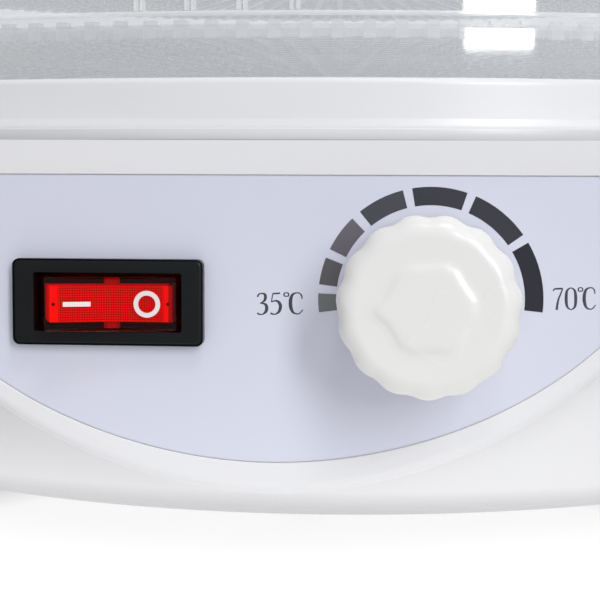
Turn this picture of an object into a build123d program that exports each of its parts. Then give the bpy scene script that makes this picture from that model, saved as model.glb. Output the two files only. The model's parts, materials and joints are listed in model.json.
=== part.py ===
from build123d import *
import math
import os

# A round food dehydrator: a white base with a heater and fan, five clear trays and a clear lid.
# Frame: Z up, the upright axis of the trays at X = Y = 0, the floor at Z = 0, the panel towards -Y.
# All sizes are millimetres. "Front" distances are measured from the axis towards -Y.

# Gaps
SEAT_GAP = 0.1        # between two pieces of the base that are fixed together
RUN_GAP = 0.05        # radial, between a shaft or pin and its bore
MOVE_GAP = 0.3        # between pieces that move past each other

# Base bowl, bead and band
FOOT_HEIGHT = 4.0
BAND_R = 162.0
BAND_BOTTOM = 76.2
BAND_HEIGHT = 8.1
BAND_ROUND = 1.2
BEAD_PROUD = 1.0       # beyond the band
BEAD_HEIGHT = 2.0
BOWL_INSET = 1.0       # bowl's upright side inside the band
BOWL_CURVE = 47.0      # width of the rounded side, from upright to the flat underside
BOWL_UPRIGHT = 4.2     # upright part of the side, below the bead
WALL = 2.5
LIP_WALL = 1.7
LIP_DEPTH = 4.0        # how deep a tray stands in the lip below it
LEDGE_WIDTH = 7.0
DECK_THICK = 2.5

# Trays and lid
TRAY_COUNT = 5
TRAY_PITCH = 30.0
TRAY_WALL = 2.0
TRAY_FLOOR_BOTTOM = 10.7
TRAY_FLOOR_THICK = 2.0
TRAY_LINE_R_EXTRA = 1.0
TRAY_LINE_THICK = 1.0
TRAY_FLANGE = 2.0
TRAY_HUB_R = 26.0
TRAY_HOLE_R = 15.0
TRAY_SLOT = 3.4
TRAY_SLOT_RINGS = 4
TRAY_SLOTS_STEP = 12    # each ring of slots has this many more than the one inside it
TRAY_RIB = 5.0          # between two rings of slots
TRAY_LINE_RISE = 1.5    # bead above the tray's floor
LID_RISE = 12.0
LID_ROUND = 12.0
LID_HANDLE_R = 17.0
LID_HANDLE_HEIGHT = 10.0
LID_HANDLE_ROUND = 3.0
LID_SLOT = 3.4
LID_SLOT_RINGS = ((25, 51, 12), (59, 85, 24))

# Panel
PANEL_PROUD = 1.9      # beyond the bead
PANEL_THICK = 2.6
PANEL_SKIRT = 2.5
PANEL_OVAL_BELOW = 5.7 # centre of the ovals below the bead
PANEL_HALF_WIDTH = 69.5
PANEL_DEPTH = 50.5
PANEL_EDGE_ROUND = 2.0
LABEL_HALF_WIDTH = 65.5
LABEL_DEPTH = 46.0
LABEL_THICK = 0.3
LABEL_RECESS = 0.5
LABEL_GAP = 0.4
WINDOW_HALF_WIDTH = 43.0
WINDOW_HEIGHT = 30.0
WINDOW_BELOW = 2.5     # its upper edge below the ovals' centre
WINDOW_ROUND = 4.0
PANEL_SCREW_XS = (-52.0, 52.0)
PANEL_SCREW_BELOW = 8.5 # below the ovals' centre
PANEL_SCREW_LENGTH = 10.0
PANEL_SCREW_STAND = 1.2  # head off the bowl's curved wall
PANEL_POST_R = 3.5

# Rocker switch
SWITCH_X = -25.9
SWITCH_BELOW = 20.1    # below the ovals' centre
BEZEL_LENGTH = 31.0
BEZEL_HEIGHT = 13.9
BEZEL_PROUD = 1.8
BEZEL_CORNER_R = 1.0
BEZEL_CHAMFER = 0.6
SWITCH_BODY_LENGTH = 27.0
SWITCH_BODY_HEIGHT = 12.0
SWITCH_BODY_DEPTH = 21.6
SWITCH_HOLE_GAP = 0.2
CLIP_PROUD = 0.8        # the snaps that hold the switch behind the panel
CLIP_LENGTH = 3.0
ROCKER_OPENING_LENGTH = 24.1
ROCKER_OPENING_HEIGHT = 9.5
ROCKER_TILT = 8.0       # degrees to each side of level
ROCKER_SIDE_GAP = 0.2
ROCKER_TOP_DEPTH = 5.0  # pivot to the middle of the rocker's face
ROCKER_FOOT_DEPTH = 2.5
ROCKER_FOOT_STEP = 2.8
ROCKER_END_SLOPE = 0.75
ROCKER_PROUD = 0.3
ROCKER_PIN_R = 1.2
ROCKER_PIN_LENGTH = 0.7
SWITCH_CAVITY_DEPTH = 9.4
TAB_WIDTH = 4.8
TAB_THICK = 0.8
TAB_LENGTH = 8.0
TAB_PITCH = 8.0
TAB_HOLE_R = 0.8

# Thermostat and knob
KNOB_X = 25.7
KNOB_BELOW = 19.4      # below the ovals' centre
KNOB_R = 14.0
KNOB_VALLEY_R = 13.2
KNOB_LOBES = 15
KNOB_LOBE_R = 2.4
KNOB_FIRST_LOBE_DEG = 6.0
KNOB_HEIGHT = 16.0
KNOB_STAND_OFF = 1.0
KNOB_PLATEAU = 13.2     # across flats
KNOB_PLATEAU_RISE = 1.2
KNOB_POINTER_DEG = 183.0
KNOB_RIM_ROUND = 3.0
KNOB_FACE_THICK = 4.0   # plastic left in front of the shaft's end
KNOB_POINTER_R = 1.2
KNOB_CAVITY_R = 10.0
KNOB_CAVITY_DEPTH = 7.0
SHAFT_R = 3.0
SHAFT_FLAT = 1.0        # how much the flat takes off the shaft
BUSH_WALL = 1.9
BUSH_LENGTH = 7.4
NUT_FLATS = 14.0
NUT_THICK = 2.5
THERMOSTAT_R = 13.0
THERMOSTAT_DEPTH = 15.0
SHAFT_IN_BODY = 7.0
BULB_R = 3.0
BULB_LENGTH = 48.0
BULB_OUT = 16.4         # in front of the duct's inside
BULB_BELOW = 8.2        # below the deck
CAPILLARY_R = 0.8
SADDLE_X = 16.0         # the two blocks under the deck that hold the bulb
SADDLE_LENGTH = 4.0

# Air duct, heater, fan and motor
DUCT_R = 61.6           # inside
DUCT_WALL = 2.9
DUCT_DEPTH = 40.2       # below the deck
SHIELD_THICK = 1.0
SHIELD_DEPTH = 19.2     # below the deck
HEATER_INSET = 17.6     # ring inside the duct
HEATER_R = 3.2
HEATER_BELOW = 10.2     # below the deck
HEATER_LEG_DEG = 20.0
HEATER_LEG_R = 3.5      # the cold ends are sleeves, a little thicker than the ring
HEATER_LEG_OUT = 14.4   # past the duct's inside
HEATER_PIN_R = 1.5
HEATER_PIN_LENGTH = 8.0
SUPPORT_WIDTH = 6.0
SUPPORT_WALL = 2.5
SUPPORT_GAP = 0.2       # round the ring, which is curved in its straight hole
CUTOUT_DEG = 135.0
CUTOUT_DEPTH = 6.0
CUTOUT_WIDTH = 9.0
CUTOUT_HEIGHT = 12.0
CUTOUT_WIRE = 4.0       # wire standing out at each end
FAN_INSET = 9.6         # blade tips inside the duct
FAN_HUB_R = 11.0
FAN_RISE = 4.0          # above the duct's lower end
FAN_HEIGHT = 14.0
FAN_HUB_CAP = 3.0       # plastic left above the shaft
FAN_HUB_ROUND = 2.0
FAN_ROOT_WIDTH = 9.0
FAN_TIP_WIDTH = 30.0
FAN_BLADES = 5
FAN_PITCH_DEG = 28.0
FAN_BLADE_THICK = 1.8
MOTOR_R = 25.0
MOTOR_LENGTH = 22.3
MOTOR_SHAFT_R = 1.5
MOTOR_BOSS_R = 8.0
MOTOR_BOSS_RISE = 1.2   # above the bracket
MOTOR_ROUND = 2.0
MOTOR_SHAFT_FLOOR = 3.0 # metal left under the shaft
MOTOR_SCREW_RING = 17.0
BRACKET_THICK = 1.5
BRACKET_RING_R = 27.0
BRACKET_ARM = 14.0
BRACKET_END = 5.0       # strap left past its screw
BRACKET_SCREW_OUT = 3.0 # the three bracket screws, outside the duct's wall
GRILLE_MARGIN = 6.4     # over the duct's edge
GRILLE_THICK = 1.5
GRILLE_SLOT = 3.2
GRILLE_SLOT_RINGS = ((9, 25, 10), (28, 42, 24), (45, DUCT_R - 4.6, 36))

# Bottom cover, posts and feet
COVER_OPENING_R = 80.0
COVER_R = 88.0
COVER_THICK = 2.0
COVER_SLOT = 3.2
COVER_SLOT_RINGS = ((14, 30, 12), (34, 52, 24), (56, 74, 36))  # inner radius, outer, count
COVER_SCREW_RING = 84.0
COVER_SCREWS = 4
POST_INSET = 16.0       # in from the flat underside's edge
POST_COUNT = 6
POST_R = 5.5
POST_RISE = 10.0        # above the duct's lower end
POST_WEB = 3.0
DECK_POST_R = 4.5
FOOT_INSET = 14.0       # in from the flat underside's edge
FOOT_COUNT = 4
FOOT_R = 8.0
FOOT_STEM_R = 3.0
FOOT_ROUND = 1.0
FOOT_BARB = 2.0         # height of the barb inside the bowl
FOOT_BARB_LIP = 1.2

# Screws: shank radius, head radius, head height
SCREW_R = 1.75
SCREW_HEAD_R = 3.6
SCREW_HEAD_HEIGHT = 2.4
SMALL_SCREW_R = 1.4
SMALL_HEAD_R = 2.6
SMALL_HEAD_HEIGHT = 1.8
HEAD_GAP = 0.6          # radial, round a screw head in its well
COVER_SCREW_BITE = 3.0
DECK_SCREW_BITE = 16.0
BRACKET_SCREW_LENGTH = 12.0
MOTOR_SCREW_LENGTH = 8.0
BLOCK_SCREW_BITE = 5.0
SCREW_HOLE_SPARE = 2.0  # how much deeper a blind hole is than its screw

# Cord inlet at the rear
INLET_Z = 35.0
INLET_BOSS_R = 13.0
INLET_BOSS_ROUND = 2.0
INLET_BOSS_PROUD = 5.0  # beyond the bead
GLAND_HOLE_R = 8.0
GLAND_BORE_R = 3.6
GLAND_FLANGE_R = 9.5
GLAND_FLANGE = 3.0
GLAND_COLLAR_R = 7.0
GLAND_COLLAR = 8.0
GLAND_ROUND = 1.5
GLAND_TAIL = 13.5       # how far it reaches in past the bowl's widest radius

# Terminal block
BLOCK_X = 36.0
BLOCK_Y = 92.0
BLOCK_LENGTH = 34.0
BLOCK_WIDTH = 14.0
BLOCK_HEIGHT = 12.0
BLOCK_POST_TOP = 12.0
BLOCK_SCREW_PITCH = 26.0
BLOCK_POLE_PITCH = 6.5
BLOCK_HOLE_GAP = 0.6
BLOCK_WELL_R = 1.6      # hole above each terminal's screw
LEAD_R = 1.2

# Worked out from the driving dimensions
BASE_Z = FOOT_HEIGHT                       # underside of the bowl
FLOOR_TOP = BASE_Z + WALL
BAND_TOP = BAND_BOTTOM + BAND_HEIGHT
BEAD_R = BAND_R + BEAD_PROUD
BEAD_BOTTOM = BAND_BOTTOM - BEAD_HEIGHT
BOWL_R = BAND_R - BOWL_INSET
BOWL_FLAT_R = BOWL_R - BOWL_CURVE
BOWL_ROUND_TOP = BEAD_BOTTOM - BOWL_UPRIGHT # height at which the rounded side turns upright
DECK_TOP = BAND_BOTTOM + DECK_THICK
LEDGE_Z = BAND_TOP - LIP_DEPTH             # where the first tray stands
LIP_R = BAND_R - LIP_WALL                  # inside of the base's lip
TRAY_R = LIP_R - MOVE_GAP
TRAY_INNER_R = TRAY_R - TRAY_WALL
TRAY_LIP_R = TRAY_R + MOVE_GAP + LIP_WALL
TRAY_HEIGHT = TRAY_PITCH + LIP_DEPTH
TRAY_FLOOR_TOP = TRAY_FLOOR_BOTTOM + TRAY_FLOOR_THICK
PANEL_FRONT = BEAD_R + PANEL_PROUD
PANEL_OVAL_Z = BEAD_BOTTOM - PANEL_OVAL_BELOW
PANEL_SCREW_Z = PANEL_OVAL_Z - PANEL_SCREW_BELOW
WINDOW_TOP = PANEL_OVAL_Z - WINDOW_BELOW
WINDOW_BOTTOM = WINDOW_TOP - WINDOW_HEIGHT
SWITCH_Z = PANEL_OVAL_Z - SWITCH_BELOW
KNOB_Z = PANEL_OVAL_Z - KNOB_BELOW
BUSH_R = SHAFT_R + BUSH_WALL
LABEL_FRONT = PANEL_FRONT - LABEL_RECESS + LABEL_THICK
PANEL_TOP = BEAD_BOTTOM - SEAT_GAP
BEZEL_FRONT = LABEL_FRONT + BEZEL_PROUD
PANEL_BACK = PANEL_FRONT - PANEL_THICK
ROCKER_PIVOT = (BEZEL_FRONT + ROCKER_PROUD
                - ROCKER_TOP_DEPTH * math.cos(math.radians(ROCKER_TILT)))
ROCKER_HALF_HEIGHT = ROCKER_OPENING_HEIGHT / 2 - ROCKER_SIDE_GAP
THERMOSTAT_FRONT = PANEL_BACK - SEAT_GAP
KNOB_BACK = LABEL_FRONT + KNOB_STAND_OFF
BULB_Y = -DUCT_R - BULB_OUT
BULB_Z = BAND_BOTTOM - BULB_BELOW
DUCT_BOTTOM = BAND_BOTTOM - DUCT_DEPTH
SHIELD_BOTTOM = BAND_BOTTOM - SHIELD_DEPTH
HEATER_RING_R = DUCT_R - HEATER_INSET
HEATER_Z = BAND_BOTTOM - HEATER_BELOW
HEATER_LEG_END = DUCT_R + HEATER_LEG_OUT
FAN_R = DUCT_R - FAN_INSET
FAN_BOTTOM = DUCT_BOTTOM + FAN_RISE
GRILLE_R = DUCT_R + GRILLE_MARGIN
BRACKET_TOP = DUCT_BOTTOM - SEAT_GAP
BRACKET_SCREW_R = DUCT_R + DUCT_WALL + BRACKET_SCREW_OUT
MOTOR_TOP = BRACKET_TOP - BRACKET_THICK - SEAT_GAP
MOTOR_BOTTOM = MOTOR_TOP - MOTOR_LENGTH
SHIELD_R = DUCT_R - SEAT_GAP
POST_RING = BOWL_FLAT_R - POST_INSET
POST_TOP = DUCT_BOTTOM + POST_RISE
FOOT_RING = BOWL_FLAT_R - FOOT_INSET
INLET_BOSS_FACE = BEAD_R + INLET_BOSS_PROUD
BLOCK_BOTTOM = BLOCK_POST_TOP + SEAT_GAP
POST_ANGLES = [360 / POST_COUNT * (k + 0.5) for k in range(POST_COUNT)]
FOOT_ANGLES = [360 / FOOT_COUNT * (k + 0.5) for k in range(FOOT_COUNT)]
COVER_SCREW_ANGLES = [360 / COVER_SCREWS * k for k in range(COVER_SCREWS)]
BRACKET_ANGLES = [90, 210, 330]


def disc(radius, bottom, top, x=0.0, y=0.0):
    """An upright cylinder between two heights."""
    return Pos(x, y, bottom) * extrude(Circle(radius), top - bottom)


def tube(outer, inner, bottom, top, x=0.0, y=0.0):
    """An upright tube between two heights."""
    return Pos(x, y, bottom) * extrude(Circle(outer) - Circle(inner), top - bottom)


def turned(*lines):
    """A solid turned about the upright axis from a closed outline of (radius, height) lines."""
    edges = [edge for line in lines for edge in (Plane.XZ * line).edges()]
    return revolve(make_face(edges), Axis.Z)


def polar(radius, degrees):
    """The x and y of a point on a circle about the axis."""
    angle = math.radians(degrees)
    return radius * math.cos(angle), radius * math.sin(angle)


def facing(x, front, z):
    """A plane parallel to the panel, this far in front of the axis, looking out of the object."""
    return Plane(origin=(x, -front, z), x_dir=(1, 0, 0), z_dir=(0, -1, 0))


def radial_slots(inner, outer, count, width, bottom, top):
    """Straight slots like the spokes of a wheel."""
    length = outer - inner
    slot = Pos(inner + length / 2, 0, (bottom + top) / 2) * Box(length, width, top - bottom)
    return [Rot(0, 0, 360 * k / count) * slot for k in range(count)]


def screw(shank_r, head_r, head_height, length):
    """A cross-head screw that points up, with the underside of its head at Z = 0."""
    body = disc(head_r, -head_height, 0) + disc(shank_r, 0, length)
    cross = Box(head_r * 1.2, head_r * 0.3, head_height * 0.8)
    recess = Pos(0, 0, -head_height) * cross
    return body - recess - Rot(0, 0, 90) * recess


def bent_tube(points, radius):
    """A tube along straight runs joined by arcs as large as the runs allow."""
    corners = [Vector(*point) for point in points]
    bends = []
    for before, corner, after in zip(corners, corners[1:], corners[2:]):
        run_in, run_out = corner - before, after - corner
        half_turn = math.radians(run_in.get_angle(run_out)) / 2
        bends.append(0.45 * min(run_in.length, run_out.length) / math.tan(half_turn))
    path = FilletPolyline(*points, radius=bends)
    section = Plane(origin=path @ 0, z_dir=path % 0) * Circle(radius)
    return sweep(section, path=path)


def bowl(inset, top):
    """The inside of the base's bowl as a solid, drawn in by inset and cut flat at top."""
    low = BASE_Z + inset
    side = BOWL_R - inset
    arc = EllipticalCenterArc(
        (BOWL_FLAT_R, BOWL_ROUND_TOP), side - BOWL_FLAT_R, BOWL_ROUND_TOP - low,
        start_angle=-90, arc_size=90,
    )
    return turned(
        Line((0, low), (BOWL_FLAT_R, low)), arc,
        Line((side, BOWL_ROUND_TOP), (side, top)),
        Line((side, top), (0, top)), Line((0, top), (0, low)),
    )


def panel_shape(half_width, depth, top):
    """A straight band above the lower half of an oval, centred on the axis."""
    oval = Pos(0, PANEL_OVAL_Z) * Ellipse(half_width, depth)
    below = Pos(0, PANEL_OVAL_Z - depth) * Rectangle(2 * half_width, 2 * depth)
    band = Pos(0, (PANEL_OVAL_Z + top) / 2) * Rectangle(2 * half_width, top - PANEL_OVAL_Z)
    return (oval & below) + band


def label_shape(grow):
    """The label's outline, made larger all round by grow."""
    return panel_shape(LABEL_HALF_WIDTH + grow, LABEL_DEPTH + grow, PANEL_OVAL_Z + 0.05 + grow)


# ---------------------------------------------------------------- base shells


def lower_housing():
    shell = bowl(0, BEAD_BOTTOM) + disc(BEAD_R, BEAD_BOTTOM, BAND_BOTTOM)
    boss = extrude(Circle(INLET_BOSS_R), INLET_BOSS_FACE - BOWL_FLAT_R)
    boss = fillet(boss.edges().sort_by(Axis.Z)[0], INLET_BOSS_ROUND)
    shell += facing(0, -INLET_BOSS_FACE, INLET_Z) * boss
    shell -= bowl(WALL, BAND_BOTTOM)
    shell += [disc(POST_R, BASE_Z, POST_TOP, *polar(POST_RING, a)) for a in POST_ANGLES]
    for end in (-1, 1):
        x = BLOCK_X + end * BLOCK_SCREW_PITCH / 2
        shell += tube(SMALL_HEAD_R + 1, SMALL_SCREW_R + RUN_GAP, BASE_Z, BLOCK_POST_TOP, x, BLOCK_Y)
    cuts = [disc(COVER_OPENING_R, BASE_Z, FLOOR_TOP)]
    for angle in POST_ANGLES:
        x, y = polar(POST_RING, angle)
        cuts.append(disc(SCREW_HEAD_R + HEAD_GAP, BASE_Z, POST_TOP - POST_WEB, x, y))
        cuts.append(disc(SCREW_R + RUN_GAP, BASE_Z, POST_TOP, x, y))
    cuts += [disc(FOOT_STEM_R + RUN_GAP, BASE_Z, FLOOR_TOP, *polar(FOOT_RING, a))
             for a in FOOT_ANGLES]
    for angle in COVER_SCREW_ANGLES:
        cuts.append(disc(SMALL_SCREW_R + RUN_GAP, BASE_Z, FLOOR_TOP,
                         *polar(COVER_SCREW_RING, angle)))
    hole_depth = INLET_BOSS_FACE - BOWL_FLAT_R
    cuts.append(facing(0, -INLET_BOSS_FACE, INLET_Z) * extrude(Circle(GLAND_HOLE_R), hole_depth))
    window = RectangleRounded(
        2 * WINDOW_HALF_WIDTH, WINDOW_TOP - WINDOW_BOTTOM, WINDOW_ROUND)
    depth = PANEL_FRONT - BOWL_FLAT_R
    cuts.append(facing(0, BOWL_FLAT_R, (WINDOW_TOP + WINDOW_BOTTOM) / 2) * extrude(window, depth))
    for x in PANEL_SCREW_XS:
        cuts.append(facing(x, BOWL_FLAT_R, PANEL_SCREW_Z)
                    * extrude(Circle(SMALL_SCREW_R + RUN_GAP), depth))
    return shell - cuts


def bottom_cover():
    plate = disc(COVER_R, BASE_Z - COVER_THICK, BASE_Z)
    plate += tube(COVER_OPENING_R - SEAT_GAP, COVER_OPENING_R - SEAT_GAP - WALL, BASE_Z, FLOOR_TOP)
    low = BASE_Z - COVER_THICK
    slots = []
    for inner, outer, count in COVER_SLOT_RINGS:
        slots += radial_slots(inner, outer, count, COVER_SLOT, low, BASE_Z)
    holes = [disc(SMALL_SCREW_R + RUN_GAP, low, BASE_Z, *polar(COVER_SCREW_RING, a))
             for a in COVER_SCREW_ANGLES]
    return plate - slots - holes


def cover_screws():
    one = screw(SMALL_SCREW_R, SMALL_HEAD_R, SMALL_HEAD_HEIGHT, COVER_THICK + WALL + COVER_SCREW_BITE)
    low = BASE_Z - COVER_THICK
    return [Pos(*polar(COVER_SCREW_RING, a), low) * one for a in COVER_SCREW_ANGLES]


def rubber_feet():
    foot = fillet(disc(FOOT_R, 0, FOOT_HEIGHT).edges().sort_by(Axis.Z)[0], FOOT_ROUND)
    foot += disc(FOOT_STEM_R, FOOT_HEIGHT, FLOOR_TOP + FOOT_BARB)
    foot += disc(FOOT_STEM_R + FOOT_BARB_LIP, FLOOR_TOP + SEAT_GAP, FLOOR_TOP + FOOT_BARB)
    return [Pos(*polar(FOOT_RING, a), 0) * foot for a in FOOT_ANGLES]


def upper_deck():
    spigot_outer = BOWL_R - WALL - SEAT_GAP
    band = disc(BAND_R, BAND_BOTTOM, BAND_TOP)
    rounded = [edge for edge in band.edges().filter_by(GeomType.CIRCLE)
               if edge.center().Z < BAND_BOTTOM + 1]
    band = fillet(rounded, BAND_ROUND)
    band -= disc(LIP_R, LEDGE_Z, BAND_TOP)
    band -= disc(LIP_R - LEDGE_WIDTH, DECK_TOP, LEDGE_Z)
    deck = band + tube(spigot_outer, spigot_outer - WALL, BAND_BOTTOM - LIP_DEPTH, BAND_BOTTOM)
    deck += disc(DUCT_R + DUCT_WALL, DUCT_BOTTOM, BAND_BOTTOM)
    for angle in BRACKET_ANGLES:
        deck += disc(DECK_POST_R, DUCT_BOTTOM, BAND_BOTTOM, *polar(BRACKET_SCREW_R, angle))
    for angle in POST_ANGLES:
        x, y = polar(POST_RING, angle)
        deck += disc(DECK_POST_R, POST_TOP + SEAT_GAP, BAND_BOTTOM, x, y)
    saddle_bottom = BULB_Z - 2 * BULB_R
    saddle = Box(SADDLE_LENGTH, 3 * BULB_R, BAND_BOTTOM - saddle_bottom)
    for end in (-1, 1):
        deck += Pos(end * SADDLE_X, BULB_Y, (BAND_BOTTOM + saddle_bottom) / 2) * saddle
    cuts = [disc(DUCT_R, DUCT_BOTTOM, DECK_TOP)]
    for angle in BRACKET_ANGLES:
        hole_top = DUCT_BOTTOM + BRACKET_SCREW_LENGTH + SCREW_HOLE_SPARE
        cuts.append(disc(SMALL_SCREW_R + RUN_GAP, DUCT_BOTTOM, hole_top,
                         *polar(BRACKET_SCREW_R, angle)))
    for angle in POST_ANGLES:
        hole_top = POST_TOP + DECK_SCREW_BITE + SCREW_HOLE_SPARE
        cuts.append(disc(SCREW_R + RUN_GAP, POST_TOP, hole_top, *polar(POST_RING, angle)))
    for side in (-1, 1):
        leg = Rot(0, 0, side * HEATER_LEG_DEG) * Pos(DUCT_R, 0, HEATER_Z) * Rot(0, 90, 0)
        cuts.append(leg * Cylinder(HEATER_LEG_R + SEAT_GAP, 4 * DUCT_WALL))
    cuts.append(Pos(0, BULB_Y, BULB_Z) * Rot(0, 90, 0) * Cylinder(BULB_R + RUN_GAP, BULB_LENGTH))
    return deck - cuts


def deck_screws():
    one = screw(SCREW_R, SCREW_HEAD_R, SCREW_HEAD_HEIGHT, POST_WEB + DECK_SCREW_BITE)
    height = POST_TOP - POST_WEB
    return [Pos(*polar(POST_RING, a), height) * one for a in POST_ANGLES]


# ---------------------------------------------------------------- control panel

def control_fascia():
    outline = panel_shape(PANEL_HALF_WIDTH, PANEL_DEPTH, PANEL_TOP)
    inner = panel_shape(
        PANEL_HALF_WIDTH - PANEL_SKIRT, PANEL_DEPTH - PANEL_SKIRT, PANEL_TOP - PANEL_SKIRT)
    block = facing(0, 0, 0).offset(PANEL_FRONT) * extrude(outline, -(PANEL_FRONT - BOWL_FLAT_R))
    front_edges = block.faces().sort_by(Axis.Y)[0].outer_wire().edges()
    block = fillet(front_edges, PANEL_EDGE_ROUND)
    hollow = facing(0, PANEL_BACK, 0) * extrude(inner, -(PANEL_BACK - BOWL_FLAT_R))
    block -= hollow
    for x in PANEL_SCREW_XS:
        post = extrude(Circle(PANEL_POST_R), -(PANEL_BACK - BOWL_FLAT_R))
        block += facing(x, PANEL_BACK, PANEL_SCREW_Z) * post
        hole = extrude(Circle(SMALL_SCREW_R + RUN_GAP), -(PANEL_BACK - BOWL_FLAT_R))
        block -= facing(x, PANEL_BACK, PANEL_SCREW_Z) * hole
    block -= bowl(-SEAT_GAP, BEAD_BOTTOM)
    recess = extrude(label_shape(LABEL_GAP), -LABEL_RECESS)
    block -= facing(0, PANEL_FRONT, 0) * recess
    block -= facing(SWITCH_X, PANEL_BACK, SWITCH_Z) * extrude(
        Rectangle(SWITCH_BODY_LENGTH + 2 * SWITCH_HOLE_GAP,
                  SWITCH_BODY_HEIGHT + 2 * SWITCH_HOLE_GAP), PANEL_THICK)
    block -= facing(KNOB_X, PANEL_BACK, KNOB_Z) * extrude(Circle(BUSH_R + SEAT_GAP), PANEL_THICK)
    return block


def fascia_screws():
    one = screw(SMALL_SCREW_R, SMALL_HEAD_R, SMALL_HEAD_HEIGHT, PANEL_SCREW_LENGTH)
    inside = BOWL_R - WALL - SEAT_GAP
    screws = []
    for x in PANEL_SCREW_XS:
        y = -math.sqrt(inside ** 2 - (abs(x) + SMALL_HEAD_R) ** 2) + PANEL_SCREW_STAND
        screws.append(Pos(x, y, PANEL_SCREW_Z) * Rot(90, 0, 0) * one)
    return screws


def control_label():
    sheet = facing(0, PANEL_FRONT - LABEL_RECESS, 0) * extrude(label_shape(0), LABEL_THICK)
    sheet -= facing(SWITCH_X, PANEL_BACK, SWITCH_Z) * extrude(
        Rectangle(SWITCH_BODY_LENGTH + 2 * SWITCH_HOLE_GAP,
                  SWITCH_BODY_HEIGHT + 2 * SWITCH_HOLE_GAP), PANEL_THICK)
    sheet -= facing(KNOB_X, PANEL_BACK, KNOB_Z) * extrude(Circle(BUSH_R + SEAT_GAP), PANEL_THICK)
    return sheet


# ---------------------------------------------------------------- rocker switch


def switch_housing():
    frame = extrude(RectangleRounded(BEZEL_LENGTH, BEZEL_HEIGHT, BEZEL_CORNER_R), BEZEL_PROUD)
    front_edges = frame.faces().sort_by(Axis.Z)[-1].edges()
    frame = facing(SWITCH_X, LABEL_FRONT, SWITCH_Z) * chamfer(front_edges, BEZEL_CHAMFER)
    body = extrude(Rectangle(SWITCH_BODY_LENGTH, SWITCH_BODY_HEIGHT), -SWITCH_BODY_DEPTH)
    frame += facing(SWITCH_X, LABEL_FRONT, SWITCH_Z) * body
    clip = Box(2 * CLIP_PROUD, CLIP_LENGTH, SWITCH_BODY_HEIGHT / 2)
    for end in (-1, 1):
        x = SWITCH_X + end * SWITCH_BODY_LENGTH / 2
        frame += Pos(x, -PANEL_BACK + SEAT_GAP + CLIP_LENGTH / 2, SWITCH_Z) * clip
    cavity = extrude(Rectangle(ROCKER_OPENING_LENGTH, ROCKER_OPENING_HEIGHT), -SWITCH_CAVITY_DEPTH)
    frame -= facing(SWITCH_X, BEZEL_FRONT, SWITCH_Z) * cavity
    pin_length = ROCKER_OPENING_HEIGHT + 2 * (ROCKER_PIN_LENGTH - ROCKER_SIDE_GAP) + 2 * SEAT_GAP
    frame -= Pos(SWITCH_X, -ROCKER_PIVOT, SWITCH_Z) * Cylinder(ROCKER_PIN_R + RUN_GAP, pin_length)
    return frame


def switch_rocker():
    rise = math.tan(math.radians(ROCKER_TILT))
    end = ROCKER_OPENING_LENGTH / 2 - MOVE_GAP  # half length at the pivot's depth
    tip = end - ROCKER_END_SLOPE                # half length at the face
    top = ROCKER_TOP_DEPTH
    side = [(end, 0), (tip, top + tip * rise), (0, top)]
    points = side + [(-x, depth) for x, depth in reversed(side[:2])]
    foot = end - ROCKER_FOOT_STEP
    points += [(-foot, -ROCKER_FOOT_DEPTH), (foot, -ROCKER_FOOT_DEPTH)]
    outline = Polyline(*[(x, -depth) for x, depth in points], close=True)
    cap = extrude(make_face(outline), ROCKER_HALF_HEIGHT, both=True)
    cap += Cylinder(ROCKER_PIN_R, 2 * (ROCKER_HALF_HEIGHT + ROCKER_PIN_LENGTH))
    return Pos(SWITCH_X, -ROCKER_PIVOT, SWITCH_Z) * Rot(0, 0, ROCKER_TILT) * cap


def switch_terminals():
    back = LABEL_FRONT - SWITCH_BODY_DEPTH
    tab = Box(TAB_WIDTH, TAB_LENGTH, TAB_THICK)
    hole = Pos(0, TAB_LENGTH / 4, 0) * Cylinder(TAB_HOLE_R, TAB_THICK)
    return [Pos(SWITCH_X + k * TAB_PITCH, -back + SEAT_GAP / 2 + TAB_LENGTH / 2, SWITCH_Z)
            * (tab - hole) for k in (-1, 0, 1)]


# ---------------------------------------------------------------- thermostat and knob


def thermostat_body():
    can = facing(KNOB_X, THERMOSTAT_FRONT, KNOB_Z) * extrude(Circle(THERMOSTAT_R), -THERMOSTAT_DEPTH)
    bush = facing(KNOB_X, THERMOSTAT_FRONT, KNOB_Z) * extrude(Circle(BUSH_R), BUSH_LENGTH)
    bore = extrude(Circle(SHAFT_R + RUN_GAP), SHAFT_IN_BODY + SEAT_GAP + BUSH_LENGTH)
    return can + bush - facing(KNOB_X, THERMOSTAT_FRONT - SHAFT_IN_BODY - SEAT_GAP, KNOB_Z) * bore


def thermostat_nut():
    nut = RegularPolygon(NUT_FLATS / 2, 6, major_radius=False) - Circle(BUSH_R + RUN_GAP)
    return facing(KNOB_X, LABEL_FRONT + SEAT_GAP, KNOB_Z) * extrude(nut, NUT_THICK)


def shaft_section(grow):
    """The knob shaft's round section with one flat, made larger all round by grow."""
    radius = SHAFT_R + grow
    flat = Pos(0, SHAFT_R - SHAFT_FLAT + grow + radius) * Rectangle(2 * radius, 2 * radius)
    return Rot(0, 0, KNOB_POINTER_DEG) * (Circle(radius) - flat)


def thermostat_shaft():
    round_end = THERMOSTAT_FRONT - SHAFT_IN_BODY
    bush_end = THERMOSTAT_FRONT + BUSH_LENGTH
    tip = KNOB_BACK + KNOB_HEIGHT - KNOB_FACE_THICK
    rod = facing(KNOB_X, round_end, KNOB_Z) * extrude(Circle(SHAFT_R), bush_end - round_end)
    return rod + facing(KNOB_X, bush_end, KNOB_Z) * extrude(shaft_section(0), tip - bush_end)


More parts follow.
